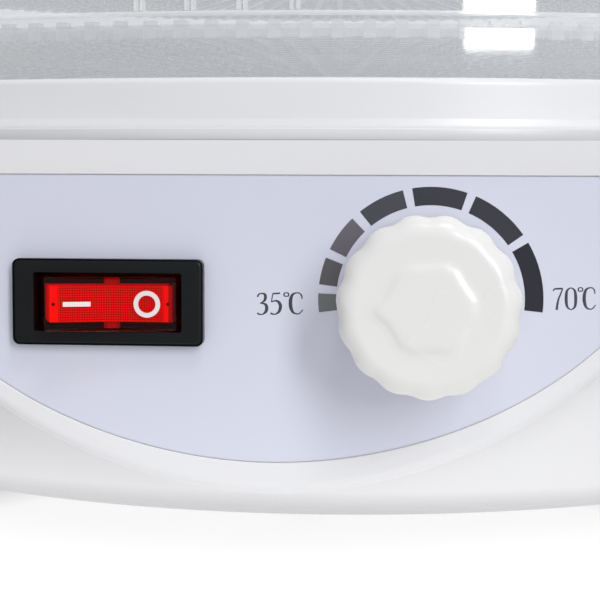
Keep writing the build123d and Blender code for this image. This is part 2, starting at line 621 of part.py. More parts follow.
def thermostat_knob():
    outline = Circle(KNOB_VALLEY_R)
    lobe = Pos(KNOB_R - KNOB_LOBE_R, 0) * Circle(KNOB_LOBE_R)
    for k in range(KNOB_LOBES):
        outline += Rot(0, 0, KNOB_FIRST_LOBE_DEG + 360 * k / KNOB_LOBES) * lobe
    body = extrude(outline, KNOB_HEIGHT)
    dome = extrude(Circle(KNOB_R + SEAT_GAP), KNOB_HEIGHT)
    body &= fillet(dome.edges().sort_by(Axis.Z)[-1], KNOB_RIM_ROUND)
    plateau = RegularPolygon(KNOB_PLATEAU / 2, 6, major_radius=False)
    corner = KNOB_PLATEAU / math.sqrt(3)
    plateau += Pos(corner - KNOB_POINTER_R / 2, 0) * Circle(KNOB_POINTER_R)
    plateau = extrude(Rot(0, 0, KNOB_POINTER_DEG) * plateau, KNOB_PLATEAU_RISE)
    body += Pos(0, 0, KNOB_HEIGHT) * plateau
    body -= extrude(Circle(KNOB_CAVITY_R), KNOB_CAVITY_DEPTH)
    body -= extrude(shaft_section(RUN_GAP), KNOB_HEIGHT - KNOB_FACE_THICK + SEAT_GAP)
    return facing(KNOB_X, KNOB_BACK, KNOB_Z) * body


def thermostat_capillary():
    bulb = Pos(0, BULB_Y, BULB_Z) * Rot(0, 90, 0) * Cylinder(BULB_R, BULB_LENGTH)
    end = BULB_LENGTH / 2 - 0.5
    back = -THERMOSTAT_FRONT + THERMOSTAT_DEPTH
    route = [
        (end, BULB_Y, BULB_Z), (end + 18, BULB_Y, BULB_Z), (58, BULB_Y - 14, BULB_Z - 2),
        (59, back + 35.2, KNOB_Z + 10.9), (48, back + 19.2, KNOB_Z + 3.9),
        (KNOB_X + 6, back + 10, KNOB_Z + 1), (KNOB_X + 6, back + SEAT_GAP, KNOB_Z),
    ]
    return bulb + bent_tube(route, CAPILLARY_R)


# ---------------------------------------------------------------- heater, fan and motor


def heat_shield():
    sleeve = tube(SHIELD_R, SHIELD_R - SHIELD_THICK, SHIELD_BOTTOM, BAND_BOTTOM - SEAT_GAP)
    for side in (-1, 1):
        leg = Rot(0, 0, side * HEATER_LEG_DEG) * Pos(DUCT_R, 0, HEATER_Z) * Rot(0, 90, 0)
        sleeve -= leg * Cylinder(HEATER_LEG_R + SEAT_GAP, 4 * DUCT_WALL)
    return sleeve


def heating_element():
    section = Plane.XZ * Pos(HEATER_RING_R, HEATER_Z) * Circle(HEATER_R)
    ring = revolve(section, Axis.Z, revolution_arc=360 - 2 * HEATER_LEG_DEG)
    element = Rot(0, 0, HEATER_LEG_DEG) * ring
    start = HEATER_RING_R - HEATER_LEG_R
    along = (Align.CENTER, Align.CENTER, Align.MIN)
    leg = Cylinder(HEATER_LEG_R, HEATER_LEG_END - start, align=along)
    leg += Cylinder(HEATER_PIN_R, HEATER_LEG_END + HEATER_PIN_LENGTH - start, align=along)
    for side in (-1, 1):
        outwards = Rot(0, 0, side * HEATER_LEG_DEG) * Pos(start, 0, HEATER_Z) * Rot(0, 90, 0)
        element += outwards * leg
    return element


def heater_supports():
    reach = HEATER_R + SUPPORT_WALL
    inner, outer = HEATER_RING_R - reach, SHIELD_R - SHIELD_THICK - SEAT_GAP
    block = Pos((inner + outer) / 2, 0, HEATER_Z) * Box(outer - inner, SUPPORT_WIDTH, 2 * reach)
    hole = Cylinder(HEATER_R + SUPPORT_GAP, SUPPORT_WIDTH)
    block -= Pos(HEATER_RING_R, 0, HEATER_Z) * Rot(90, 0, 0) * hole
    return [Rot(0, 0, a) * block for a in (90, 180, 270)]


def thermal_cutout():
    outer = SHIELD_R - SHIELD_THICK - SEAT_GAP
    can = Box(CUTOUT_DEPTH, CUTOUT_WIDTH, CUTOUT_HEIGHT)
    can += Cylinder(1, CUTOUT_HEIGHT + 2 * CUTOUT_WIRE)
    corner = (outer ** 2 - (CUTOUT_WIDTH / 2) ** 2) ** 0.5
    return Rot(0, 0, CUTOUT_DEG) * Pos(corner - CUTOUT_DEPTH / 2, 0, HEATER_Z) * can


def air_grille():
    plate = disc(GRILLE_R, DECK_TOP, DECK_TOP + GRILLE_THICK)
    spigot = SHIELD_R - SHIELD_THICK - SEAT_GAP
    plate += tube(spigot, spigot - 1.5, BAND_BOTTOM, DECK_TOP)
    low, high = DECK_TOP, DECK_TOP + GRILLE_THICK
    slots = []
    for inner, outer, count in GRILLE_SLOT_RINGS:
        slots += radial_slots(inner, outer, count, GRILLE_SLOT, low, high)
    return plate - slots


def fan_impeller():
    hub = disc(FAN_HUB_R, FAN_BOTTOM, FAN_BOTTOM + FAN_HEIGHT)
    hub = fillet(hub.edges().sort_by(Axis.Z)[-1], FAN_HUB_ROUND)
    root, tip = FAN_HUB_R - 2, FAN_R + 1
    outline = Polyline((root, -FAN_ROOT_WIDTH / 2), (tip, -FAN_TIP_WIDTH / 2),
                       (tip, FAN_TIP_WIDTH / 2), (root, FAN_ROOT_WIDTH / 2), close=True)
    blade = extrude(make_face(outline), FAN_BLADE_THICK / 2, both=True)
    blade = Pos(0, 0, FAN_BOTTOM + FAN_HEIGHT / 2) * Rot(FAN_PITCH_DEG, 0, 0) * blade
    blade &= disc(FAN_R, 0, 2 * FAN_BOTTOM)
    for k in range(FAN_BLADES):
        hub += Rot(0, 0, 360 * k / FAN_BLADES) * blade
    return hub - disc(MOTOR_SHAFT_R + RUN_GAP, FAN_BOTTOM, FAN_BOTTOM + FAN_HEIGHT - FAN_HUB_CAP)


def motor_shaft():
    top = FAN_BOTTOM + FAN_HEIGHT - FAN_HUB_CAP - SEAT_GAP
    return disc(MOTOR_SHAFT_R, MOTOR_BOTTOM + MOTOR_SHAFT_FLOOR, top)


def fan_motor():
    can = disc(MOTOR_R, MOTOR_BOTTOM, MOTOR_TOP)
    can = fillet(can.edges().filter_by(GeomType.CIRCLE).sort_by(Axis.Z)[0], MOTOR_ROUND)
    boss_top = BRACKET_TOP + MOTOR_BOSS_RISE
    can += disc(MOTOR_BOSS_R, MOTOR_TOP, boss_top)
    shaft_end = MOTOR_BOTTOM + MOTOR_SHAFT_FLOOR
    bore = disc(MOTOR_SHAFT_R + RUN_GAP, shaft_end - SEAT_GAP, boss_top)
    for side in (-1, 1):
        bore += disc(SMALL_SCREW_R + RUN_GAP, MOTOR_TOP - MOTOR_SCREW_LENGTH, MOTOR_TOP,
                     side * MOTOR_SCREW_RING, 0)
    return can - bore


def motor_bracket():
    low = BRACKET_TOP - BRACKET_THICK
    strap = disc(BRACKET_RING_R, low, BRACKET_TOP)
    for angle in BRACKET_ANGLES:
        length = BRACKET_SCREW_R + BRACKET_END
        arm = Pos(length / 2, 0, low + BRACKET_THICK / 2) * Box(length, BRACKET_ARM, BRACKET_THICK)
        strap += Rot(0, 0, angle) * arm
    strap -= disc(MOTOR_BOSS_R + SEAT_GAP, low, BRACKET_TOP)
    for angle in BRACKET_ANGLES:
        strap -= disc(SMALL_SCREW_R + RUN_GAP, low, BRACKET_TOP, *polar(BRACKET_SCREW_R, angle))
    for side in (-1, 1):
        strap -= disc(SMALL_SCREW_R + RUN_GAP, low, BRACKET_TOP, side * MOTOR_SCREW_RING, 0)
    return strap


def bracket_screws():
    one = screw(SMALL_SCREW_R, SMALL_HEAD_R, SMALL_HEAD_HEIGHT, BRACKET_SCREW_LENGTH)
    low = BRACKET_TOP - BRACKET_THICK
    return [Pos(*polar(BRACKET_SCREW_R, a), low) * one for a in BRACKET_ANGLES]


def motor_screws():
    one = Rot(180, 0, 0) * screw(SMALL_SCREW_R, SMALL_HEAD_R, SMALL_HEAD_HEIGHT, MOTOR_SCREW_LENGTH)
    return [Pos(side * MOTOR_SCREW_RING, 0, BRACKET_TOP) * one for side in (-1, 1)]


# ---------------------------------------------------------------- wiring


def cord_gland():
    """The grommet in the rear boss, drawn along its own axis and turned to face backwards."""
    flange = disc(GLAND_FLANGE_R, 0, GLAND_FLANGE)
    collar = disc(GLAND_COLLAR_R, 0, GLAND_FLANGE + GLAND_COLLAR)
    collar = fillet(collar.edges().sort_by(Axis.Z)[-1], GLAND_ROUND)
    inside = INLET_BOSS_FACE - BOWL_R + GLAND_TAIL
    body = flange + collar + disc(GLAND_HOLE_R - SEAT_GAP, -inside, 0)
    body -= disc(GLAND_BORE_R, -inside, GLAND_FLANGE + GLAND_COLLAR)
    return facing(0, -INLET_BOSS_FACE, INLET_Z) * Rot(180, 0, 0) * body


def terminal_block():
    block = Box(BLOCK_LENGTH, BLOCK_WIDTH, BLOCK_HEIGHT)
    for k in (-1, 0, 1):
        wire_hole = Cylinder(LEAD_R + BLOCK_HOLE_GAP, BLOCK_WIDTH)
        block -= Pos(k * BLOCK_POLE_PITCH, 0, 0) * Rot(90, 0, 0) * wire_hole
        well = Cylinder(BLOCK_WELL_R, BLOCK_HEIGHT / 2)
        block -= Pos(k * BLOCK_POLE_PITCH, 0, BLOCK_HEIGHT / 2) * well
    for end in (-1, 1):
        screw_hole = Cylinder(SMALL_SCREW_R + RUN_GAP, BLOCK_HEIGHT)
        block -= Pos(end * BLOCK_SCREW_PITCH / 2, 0, 0) * screw_hole
    return Pos(BLOCK_X, BLOCK_Y, BLOCK_BOTTOM + BLOCK_HEIGHT / 2) * block


def block_screws():
    length = BLOCK_HEIGHT + BLOCK_SCREW_BITE
    one = Rot(180, 0, 0) * screw(SMALL_SCREW_R, SMALL_HEAD_R, SMALL_HEAD_HEIGHT, length)
    top = BLOCK_BOTTOM + BLOCK_HEIGHT + SEAT_GAP / 2
    return [Pos(BLOCK_X + end * BLOCK_SCREW_PITCH / 2, BLOCK_Y, top) * one for end in (-1, 1)]


def internal_leads():
    """Five wires: each leaves its terminal straight, and no three of its points are in line."""
    wire_z = BLOCK_BOTTOM + BLOCK_HEIGHT / 2
    block_end = BLOCK_Y - BLOCK_WIDTH / 2 + 3       # inside the block's near side
    block_out = block_end - 10
    tab_end = -(LABEL_FRONT - SWITCH_BODY_DEPTH) + TAB_LENGTH + MOVE_GAP
    left_tab, right_tab = SWITCH_X - TAB_PITCH, SWITCH_X + TAB_PITCH
    back = -THERMOSTAT_FRONT + THERMOSTAT_DEPTH + MOVE_GAP
    pin = HEATER_LEG_END + HEATER_PIN_LENGTH + MOVE_GAP
    beside_duct, past_duct = DUCT_R + 21.4, DUCT_R + 24.4
    round_the_duct = [(*polar(beside_duct, angle), z) for angle, z in
                      ((236, 40), (207, 32), (178, 26), (149, 22), (120, 19))]
    low_z = KNOB_Z - 8
    mains = [
        (left_tab, tab_end, SWITCH_Z), (left_tab, tab_end + 12, SWITCH_Z - 2), *round_the_duct,
        (0, 76, wire_z - 3), (BLOCK_X - 8, block_out - 3, wire_z - 1),
        (BLOCK_X - BLOCK_POLE_PITCH, block_out + 4, wire_z),
        (BLOCK_X - BLOCK_POLE_PITCH, block_end, wire_z),
    ]
    link = [
        (right_tab, tab_end, SWITCH_Z), (right_tab, tab_end + 9, SWITCH_Z - 1),
        (-6, tab_end + 16.8, SWITCH_Z - 5), (KNOB_X - 17, back + 27.9, KNOB_Z - 5),
        (KNOB_X - 6, back + 14, KNOB_Z - 1), (KNOB_X - 6, back + 5, KNOB_Z),
        (KNOB_X - 6, back, KNOB_Z),
    ]
    heater_live = [
        (KNOB_X, back, low_z), (KNOB_X, back + 9, low_z), (44, back + 32.9, low_z + 5),
        (56, BULB_Y - 10, low_z + 11), (*polar(beside_duct, -44), HEATER_Z - 7),
        (*polar(past_duct, -31), HEATER_Z - 3),
        (*polar(pin + 6, -HEATER_LEG_DEG), HEATER_Z), (*polar(pin, -HEATER_LEG_DEG), HEATER_Z),
    ]
    heater_return = [
        (*polar(pin, HEATER_LEG_DEG), HEATER_Z), (*polar(pin + 6, HEATER_LEG_DEG), HEATER_Z),
        (*polar(past_duct, 31), HEATER_Z - 6), (66, 54, HEATER_Z - 18), (56, 64, 34),
        (BLOCK_X + 8, block_out - 4, wire_z + 2), (BLOCK_X + BLOCK_POLE_PITCH, block_out + 3, wire_z),
        (BLOCK_X + BLOCK_POLE_PITCH, block_end, wire_z),
    ]
    motor = [
        (BLOCK_X, block_end, wire_z), (BLOCK_X, block_out + 3, wire_z - 1),
        (33, 60, MOTOR_BOTTOM + 2), (24, 44, MOTOR_BOTTOM + 2),
        (*polar(MOTOR_R + 8, 58), MOTOR_BOTTOM + 5), (*polar(MOTOR_R + MOVE_GAP, 58), MOTOR_BOTTOM + 6),
    ]
    return [bent_tube(route, LEAD_R) for route in (mains, link, heater_live, heater_return, motor)]


# ---------------------------------------------------------------- trays and lid


def tray():
    """A tray that stands on Z = 0 with its floor above its skirt and a lip for the next tray."""
    body = tube(TRAY_R, TRAY_INNER_R, 0, TRAY_PITCH)
    body += tube(TRAY_LIP_R, TRAY_INNER_R, TRAY_PITCH - TRAY_FLANGE, TRAY_PITCH)
    body += tube(TRAY_LIP_R, TRAY_LIP_R - LIP_WALL, TRAY_PITCH, TRAY_HEIGHT)
    line_bottom = TRAY_FLOOR_TOP + TRAY_LINE_RISE
    body += tube(TRAY_R + TRAY_LINE_R_EXTRA, TRAY_INNER_R, line_bottom, line_bottom + TRAY_LINE_THICK)
    low, high = TRAY_FLOOR_BOTTOM, TRAY_FLOOR_TOP
    body += tube(TRAY_R, TRAY_HOLE_R, low, high)
    pitch = (TRAY_INNER_R - TRAY_HUB_R) / TRAY_SLOT_RINGS
    for k in range(TRAY_SLOT_RINGS):
        inner = TRAY_HUB_R + k * pitch
        count = TRAY_SLOTS_STEP * (k + 1)
        body -= radial_slots(inner, inner + pitch - TRAY_RIB, count, TRAY_SLOT, low, high)
    return body


def lid():
    """The lid, with its skirt's lower edge at Z = 0."""
    seat = LIP_DEPTH + SEAT_GAP
    top = seat + TRAY_FLANGE + LID_RISE
    shoulder = TRAY_R - LID_ROUND

    def dome(inset):
        side, high = TRAY_R - inset, top - inset
        arc = EllipticalCenterArc((shoulder, high - LID_ROUND), side - shoulder, LID_ROUND,
                                  start_angle=0, arc_size=90)
        return turned(
            Line((0, 0), (side, 0)), Line((side, 0), (side, high - LID_ROUND)), arc,
            Line((shoulder, high), (0, high)), Line((0, high), (0, 0)),
        )

    shell = dome(0) + disc(TRAY_LIP_R, seat, seat + TRAY_FLANGE)
    handle = disc(LID_HANDLE_R, top - TRAY_WALL, top + LID_HANDLE_HEIGHT)
    handle = fillet(handle.edges().sort_by(Axis.Z)[-1], LID_HANDLE_ROUND)
    shell += handle
    shell -= dome(TRAY_WALL)
    shell -= disc(LID_HANDLE_R - TRAY_WALL, top - TRAY_WALL, top + LID_HANDLE_HEIGHT - TRAY_WALL)
    for inner, outer, count in LID_SLOT_RINGS:
        shell -= radial_slots(inner, outer, count, LID_SLOT, top - TRAY_WALL, top)
    return shell


def write(name, shape):
    """Writes one node; a list of like pieces becomes one file of separate solids."""
    if isinstance(shape, list):
        shape = Compound(children=[solid for piece in shape for solid in piece.solids()])
    export_step(shape, f"parts/{name}.step")


SINGLE_PIECES = (
    lower_housing, bottom_cover, cover_screws, rubber_feet, upper_deck, deck_screws,
    control_fascia, fascia_screws, control_label,
    switch_housing, switch_rocker, switch_terminals,
    thermostat_body, thermostat_nut, thermostat_shaft, thermostat_knob, thermostat_capillary,
    heat_shield, heating_element, heater_supports, thermal_cutout, air_grille,
    fan_impeller, motor_shaft, fan_motor, motor_bracket, bracket_screws, motor_screws,
    cord_gland, terminal_block, block_screws, internal_leads,
)

os.makedirs("parts", exist_ok=True)
for piece in SINGLE_PIECES:
    write(piece.__name__, piece())
one_tray = tray()
for number in range(TRAY_COUNT):
    write(f"tray_{number + 1}", Pos(0, 0, LEDGE_Z + number * TRAY_PITCH) * one_tray)
write("lid", Pos(0, 0, LEDGE_Z + TRAY_COUNT * TRAY_PITCH) * lid())
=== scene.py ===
import json
import math

import bmesh
import bpy
from mathutils import Matrix, Vector


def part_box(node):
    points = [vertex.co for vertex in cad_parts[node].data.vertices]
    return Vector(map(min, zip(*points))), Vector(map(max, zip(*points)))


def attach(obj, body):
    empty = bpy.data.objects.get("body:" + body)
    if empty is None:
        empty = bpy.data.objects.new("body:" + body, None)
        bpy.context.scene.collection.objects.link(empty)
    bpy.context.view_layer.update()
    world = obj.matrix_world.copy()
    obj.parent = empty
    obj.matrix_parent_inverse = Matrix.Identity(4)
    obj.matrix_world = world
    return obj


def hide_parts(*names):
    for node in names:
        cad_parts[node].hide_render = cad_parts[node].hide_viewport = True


bl_info = {
    "name": "Food dehydrator",
    "version": (1, 0, 0),
    "blender": (4, 5, 0),
    "location": "3D View > Sidebar > Dehydrator",
    "description": "Builds the shells, panel, switch, knob, clear trays and lid of a round food dehydrator",
    "category": "Object",
}

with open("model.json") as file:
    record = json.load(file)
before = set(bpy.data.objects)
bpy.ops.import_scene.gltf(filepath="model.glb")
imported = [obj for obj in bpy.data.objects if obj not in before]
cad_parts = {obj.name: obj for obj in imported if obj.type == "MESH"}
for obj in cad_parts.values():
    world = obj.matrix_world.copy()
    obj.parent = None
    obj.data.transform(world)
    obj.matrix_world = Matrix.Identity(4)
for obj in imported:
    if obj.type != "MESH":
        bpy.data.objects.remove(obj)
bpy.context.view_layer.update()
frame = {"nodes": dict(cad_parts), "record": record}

# Pieces are modelled in millimetres about the upright axis of the trays and made metres when they are finished.
METRE = 1000.0
WELD = 0.002          # vertices nearer than this are one
SEGMENTS = 192        # round the base, trays and lid
FULL_TURN = 2 * math.pi


def box_mm(node_name):
    """Lowest and highest corner of a CAD node in millimetres."""
    low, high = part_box(node_name)
    return low * METRE, high * METRE


BOWL_HIGH = box_mm("lower_housing")[1]
DECK_LOW, DECK_HIGH = box_mm("upper_deck")
PANEL_LOW, PANEL_HIGH = box_mm("control_fascia")
LABEL_LOW, LABEL_HIGH = box_mm("control_label")
SWITCH_LOW, SWITCH_HIGH = box_mm("switch_housing")
KNOB_LOW, KNOB_HIGH = box_mm("thermostat_knob")
SHAFT_LOW, SHAFT_HIGH = box_mm("thermostat_shaft")
LID_LOW, LID_HIGH = box_mm("lid")

BEAD_R = BOWL_HIGH.x
BAND_R = DECK_HIGH.x
BAND_TOP = DECK_HIGH.z
BEAD_TOP = BOWL_HIGH.z
PANEL_FRONT = -PANEL_LOW.y
LABEL_FRONT = -LABEL_LOW.y
KNOB_X = (SHAFT_LOW.x + SHAFT_HIGH.x) / 2
KNOB_Z = (SHAFT_LOW.z + SHAFT_HIGH.z) / 2
SWITCH_X = (SWITCH_LOW.x + SWITCH_HIGH.x) / 2
SWITCH_Z = (SWITCH_LOW.z + SWITCH_HIGH.z) / 2 - 0.2

# Sizes in millimetres that the frame's boxes don't give
BASE_Z = 4.0
WALL = 2.5
BOWL_FLAT_R = 116.0
BOWL_R = BEAD_R - 2.0
BOWL_ROUND_TOP = 70.0
BEAD_HEIGHT = 2.0
LIP_WALL = 1.7
LEDGE_Z = BAND_TOP - 4.0
DECK_TOP = BEAD_TOP + 2.5
DUCT_R = 61.6
DUCT_WALL = 2.9
DUCT_BOTTOM = DECK_LOW.z
INLET_Z = 35.0
INLET_BOSS_R = 13.0
BOSS_FACE = BOWL_HIGH.y
POST_RING = 98.0
POST_R = 5.5
POST_TOP = 46.0
POST_ANGLES = range(30, 390, 60)
SCREW_WELL_R = 4.2
COVER_OPENING_R = 80.0
CORD_HOLE_R = 8.0
SPIGOT_DEPTH = 4.0    # how far the deck's ring reaches into the bowl
BAND_SETBACK = 0.25   # of the band's face from its flared foot
PANEL_OVAL_Z = 68.5
PANEL_HALF_WIDTH = PANEL_HIGH.x
PANEL_DEPTH = PANEL_OVAL_Z - PANEL_LOW.z + 1.0    # its lower edge hangs a little over the bowl's curve
PANEL_EDGE_ROUND = 2.0
PANEL_BULGE = 1.85    # 2 is a true oval; less draws its lower corners in
LABEL_BULGE = 1.92
RECESS_GAP = 0.15     # round the label
RECESS_DEPTH = 0.5
LABEL_HALF_WIDTH = LABEL_HIGH.x
LABEL_DEPTH = PANEL_OVAL_Z - LABEL_LOW.z
PRINT = 0.03          # how far the ink stands on the label
DIAL_BARS = (          # start, end, ink
    (177.5, 187.3, "ink_1"), (158.6, 172.8, "ink_2"), (134.3, 153.8, "ink_3"), (104.5, 129.1, "ink_4"),
    (71.3, 99.7, "ink_5"), (35.5, 66.7, "ink_6"), (-6.1, 30.8, "ink_7"),
)
BEZEL_HALF_HEIGHT = 6.95
SWITCH_BODY_HALF_LENGTH = 13.5
SWITCH_BODY_HALF_HEIGHT = 6.0
SHAFT_HOLE_R = 5.0
WELL_LENGTH = 24.1
WELL_HEIGHT = 9.5
ROCKER_TILT = 8.0
ROCKER_FACE = 5.0
ROCKER_PIVOT = 161.849
ROCKER_HALF = WELL_LENGTH / 2 - 0.3
ROCKER_SLOPE = 1.3     # how much shorter its face is than its foot
ROCKER_HALF_HEIGHT = 4.35
ROCKER_DROP = 0.2      # below the middle of its well
CORE_HALF_HEIGHT = 2.9
GRID_HALF_LENGTH = 8.4
GRID_ROWS = 15
MARK_DEPTH = 0.05
MARK_ON_X = -5.4
MARK_OFF_X = 5.75
KNOB_R = 14.0
KNOB_VALLEY_R = 13.5
FIRST_LOBE = 6.0
RIM_ROUND = 3.0
KNOB_WALL = 1.6
KNOB_HOLLOW = 8.0
POINTER_DEG = 183.0
TRAY_COUNT = 5
TRAY_PITCH = 30.0
TRAY_R = 160.0
TRAY_WALL = 2.0
TRAY_FLOOR_BOTTOM = 10.7
TRAY_FLOOR_TOP = 12.7
TRAY_LINE_Z = 13.9    # foot of the bead outside the wall
TRAY_STEP_Z = 12.0    # a shallow step in the wall below the bead
TRAY_HOLE_R = 15.0
TRAY_HUB_R = 26.0
TRAY_WEBS = ((112.0, 158.5, 192, 9), (69.0, 112.4, 96, 7), (43.0, 69.4, 48, 5), (25.5, 43.4, 24, 3))
TRAY_RIB_STEP = 3.05
TRAY_RIB_GAP = 1.1
TRAY_RIB_START = 1.3
STACKING_GAP = 0.02   # a hair of air between two trays
LIP_HEIGHT = 4.0      # how far a tray's lip stands above its ledge
LID_HANDLE_HEIGHT = 10.0
LID_HANDLE_R = 17.0
LID_ROUND = 12.0
LID_VENTS = ((25.0, 51.0, 12), (59.0, 85.0, 24))    # from, to, count

# Painted shade for creases: the share of its colour that a polymer is darkened to in a deep corner.
PAINTED_CREASE_SHADE = 0.45   # brightness of a polymer in a deep corner, against its open faces

# The studio, in metres and radians
# The table's glow holds a painted pool of light under the object, which hides the object's shadow there.
PAINTED_POOL_MIDDLE = (0.002, -0.134, 0)      # of the light in the table
PAINTED_POOL_INNER, PAINTED_POOL_OUTER = 0.07, 0.12   # where it starts to fade and where it has
GLOW_FROM, GLOW_TO = 2.0, 5.0         # the far table brightens between these
AIR_GLOW = 0.49
OVERHEAD_POWER = 4.0
CAMERA_PLACE = (0.0282, -0.4193, 0.0705)
CAMERA_PAN, CAMERA_TILT, CAMERA_ROLL = 0.0909, -0.0848, 0.0033

# Letters one unit high: advance, then strokes of (x, z, thickness) about the line's middle
GLYPHS = {
    "3": (0.52, (
        ((0.07, 0.33, 0.05), (0.1, 0.46, 0.05), (0.23, 0.5, 0.04), (0.38, 0.45, 0.09), (0.37, 0.2, 0.09),
         (0.26, 0.07, 0.05), (0.16, 0.03, 0.035)),
        ((0.16, 0.03, 0.035), (0.3, 0.04, 0.06), (0.42, -0.08, 0.1), (0.4, -0.36, 0.1), (0.25, -0.5, 0.04),
         (0.1, -0.49, 0.05), (0.05, -0.42, 0.07)))),
    "5": (0.56, (
        ((0.14, 0.47, 0.05), (0.28, 0.47, 0.07), (0.42, 0.49, 0.05)),
        ((0.14, 0.47, 0.035), (0.11, 0.28, 0.035), (0.08, 0.08, 0.035)),
        ((0.08, 0.08, 0.035), (0.2, 0.16, 0.05), (0.36, 0.1, 0.09), (0.44, -0.1, 0.1), (0.38, -0.38, 0.09),
         (0.22, -0.5, 0.04), (0.08, -0.48, 0.06), (0.05, -0.42, 0.07)))),
    "7": (0.52, (
        ((0.04, 0.36, 0.04), (0.07, 0.46, 0.05), (0.2, 0.47, 0.07), (0.44, 0.47, 0.06)),
        ((0.44, 0.47, 0.04), (0.34, 0.2, 0.05), (0.22, -0.1, 0.07), (0.18, -0.5, 0.08)))),
    "0": (0.56, (
        ((0.26, 0.5, 0.035), (0.1, 0.44, 0.07), (0.06, 0.15, 0.1), (0.06, -0.15, 0.1), (0.1, -0.44, 0.07),
         (0.26, -0.5, 0.035)),
        ((0.26, 0.5, 0.035), (0.42, 0.44, 0.07), (0.46, 0.15, 0.1), (0.46, -0.15, 0.1), (0.42, -0.44, 0.07),
         (0.26, -0.5, 0.035)))),
    "*": (0.2, (
        ((0.1, 0.5, 0.04), (0.01, 0.5, 0.045), (0.01, 0.34, 0.045), (0.1, 0.34, 0.04), (0.19, 0.34, 0.045),
         (0.19, 0.5, 0.045), (0.1, 0.5, 0.04)),)),
    "C": (0.56, (
        ((0.5, 0.2, 0.03), (0.5, 0.34, 0.05), (0.42, 0.48, 0.04), (0.28, 0.5, 0.045), (0.12, 0.42, 0.08),
         (0.05, 0.15, 0.11), (0.05, -0.15, 0.11), (0.12, -0.42, 0.08), (0.28, -0.5, 0.045),
         (0.42, -0.47, 0.04), (0.52, -0.3, 0.035)),)),
}


# ---------------------------------------------------------------- colours and nodes


def linear(hex_colour):
    """An sRGB hex colour as linear red, green and blue."""
    parts = [int(hex_colour[k:k + 2], 16) / 255 for k in (1, 3, 5)]
    return [c / 12.92 if c <= 0.04045 else ((c + 0.055) / 1.055) ** 2.4 for c in parts]


def per_mm(size):
    """The scale that gives a texture one repeat in this many millimetres."""
    return METRE / size


def add(tree, kind, settings=None, links=None):
    """Adds a node; a setting names a property or an input, and a link gives an input its socket."""
    made = tree.nodes.new(kind)
    for name, value in (settings or {}).items():
        if isinstance(name, int) or name in made.inputs:
            made.inputs[name].default_value = value
        else:
            setattr(made, name, value)
    for name, socket in (links or {}).items():
        tree.links.new(socket, made.inputs[name])
    return made


def started(name):
    """A new material's node tree with only its coordinates and its output."""
    made = bpy.data.materials.new(name)
    made.use_nodes = True
    tree = made.node_tree
    tree.nodes.clear()
    place = add(tree, "ShaderNodeTexCoord").outputs["Object"]
    output = add(tree, "ShaderNodeOutputMaterial")
    return made, tree, place, output


def rgba(colour, gain=1.0):
    """A linear colour for a socket, brightened or dimmed by gain."""
    return (*[min(c * gain, 1.0) for c in colour], 1.0)


def polymer(name, colour, roughness, grain, bump, ior=1.53, spread=0.03, sheen=0.5, glow=0.0, crease=0.0):
    """Moulded plastic: an even colour with a faint flow pattern and the fine grain of its mould.

    A crease above nought darkens the colour with painted shade in the corners within this many millimetres of another
    face.
    """
    made, tree, place, output = started(name)
    flow = add(tree, "ShaderNodeTexNoise", {"Scale": per_mm(60), "Detail": 3.0}, {"Vector": place})
    tint = add(tree, "ShaderNodeMix", {"data_type": "RGBA"}, {"Factor": flow.outputs["Fac"]})
    tint.inputs[6].default_value = rgba(colour, 1 - spread)
    tint.inputs[7].default_value = rgba(colour, 1 + spread)
    shade = tint.outputs[2]
    if crease:
        # Painted shade: an ambient-occlusion mask darkens the colour in creases and near other faces.
        corner = add(tree, "ShaderNodeAmbientOcclusion", {"Distance": crease / METRE, "samples": 8})
        painted_crease_shade = add(tree, "ShaderNodeMix", {"data_type": "RGBA"}, {"Factor": corner.outputs["AO"]})
        painted_crease_shade.inputs[6].default_value = rgba(colour, PAINTED_CREASE_SHADE)
        tree.links.new(shade, painted_crease_shade.inputs[7])
        shade = painted_crease_shade.outputs[2]
    skin = add(tree, "ShaderNodeTexNoise", {"Scale": per_mm(grain), "Detail": 2.0}, {"Vector": place})
    gloss = add(tree, "ShaderNodeMapRange", {"To Min": roughness * 0.85, "To Max": roughness * 1.15},
                {"Value": flow.outputs["Fac"]})
    relief = add(tree, "ShaderNodeBump", {"Strength": 1.0, "Distance": bump / METRE},
                 {"Height": skin.outputs["Fac"]})
    shader = add(tree, "ShaderNodeBsdfPrincipled",
                 {"IOR": ior, "Specular IOR Level": sheen, "Emission Color": rgba(colour),
                  "Emission Strength": glow},
                 {"Base Color": shade, "Roughness": gloss.outputs[0], "Normal": relief.outputs[0]})
    tree.links.new(shader.outputs[0], output.inputs["Surface"])
    return made


def metal(name, colour, roughness, grain, stretch=(1, 1, 1), bump=0.01, spread=0.12):
    """Bare or plated metal: drawn or turned lines show in its brightness and its roughness."""
    made, tree, place, output = started(name)
    lines = add(tree, "ShaderNodeMapping", {"Scale": stretch}, {"Vector": place})
    grit = add(tree, "ShaderNodeTexNoise", {"Scale": per_mm(grain), "Detail": 4.0},
               {"Vector": lines.outputs[0]})
    tint = add(tree, "ShaderNodeMix", {"data_type": "RGBA"}, {"Factor": grit.outputs["Fac"]})
    tint.inputs[6].default_value = rgba(colour, 1 - spread)
    tint.inputs[7].default_value = rgba(colour, 1 + spread)
    gloss = add(tree, "ShaderNodeMapRange", {"To Min": roughness * 0.7, "To Max": roughness * 1.3},
                {"Value": grit.outputs["Fac"]})
    relief = add(tree, "ShaderNodeBump", {"Strength": 1.0, "Distance": bump / METRE},
                 {"Height": grit.outputs["Fac"]})
    shader = add(tree, "ShaderNodeBsdfPrincipled", {"Metallic": 1.0},
                 {"Base Color": tint.outputs[2], "Roughness": gloss.outputs[0], "Normal": relief.outputs[0]})
    tree.links.new(shader.outputs[0], output.inputs["Surface"])
    return made


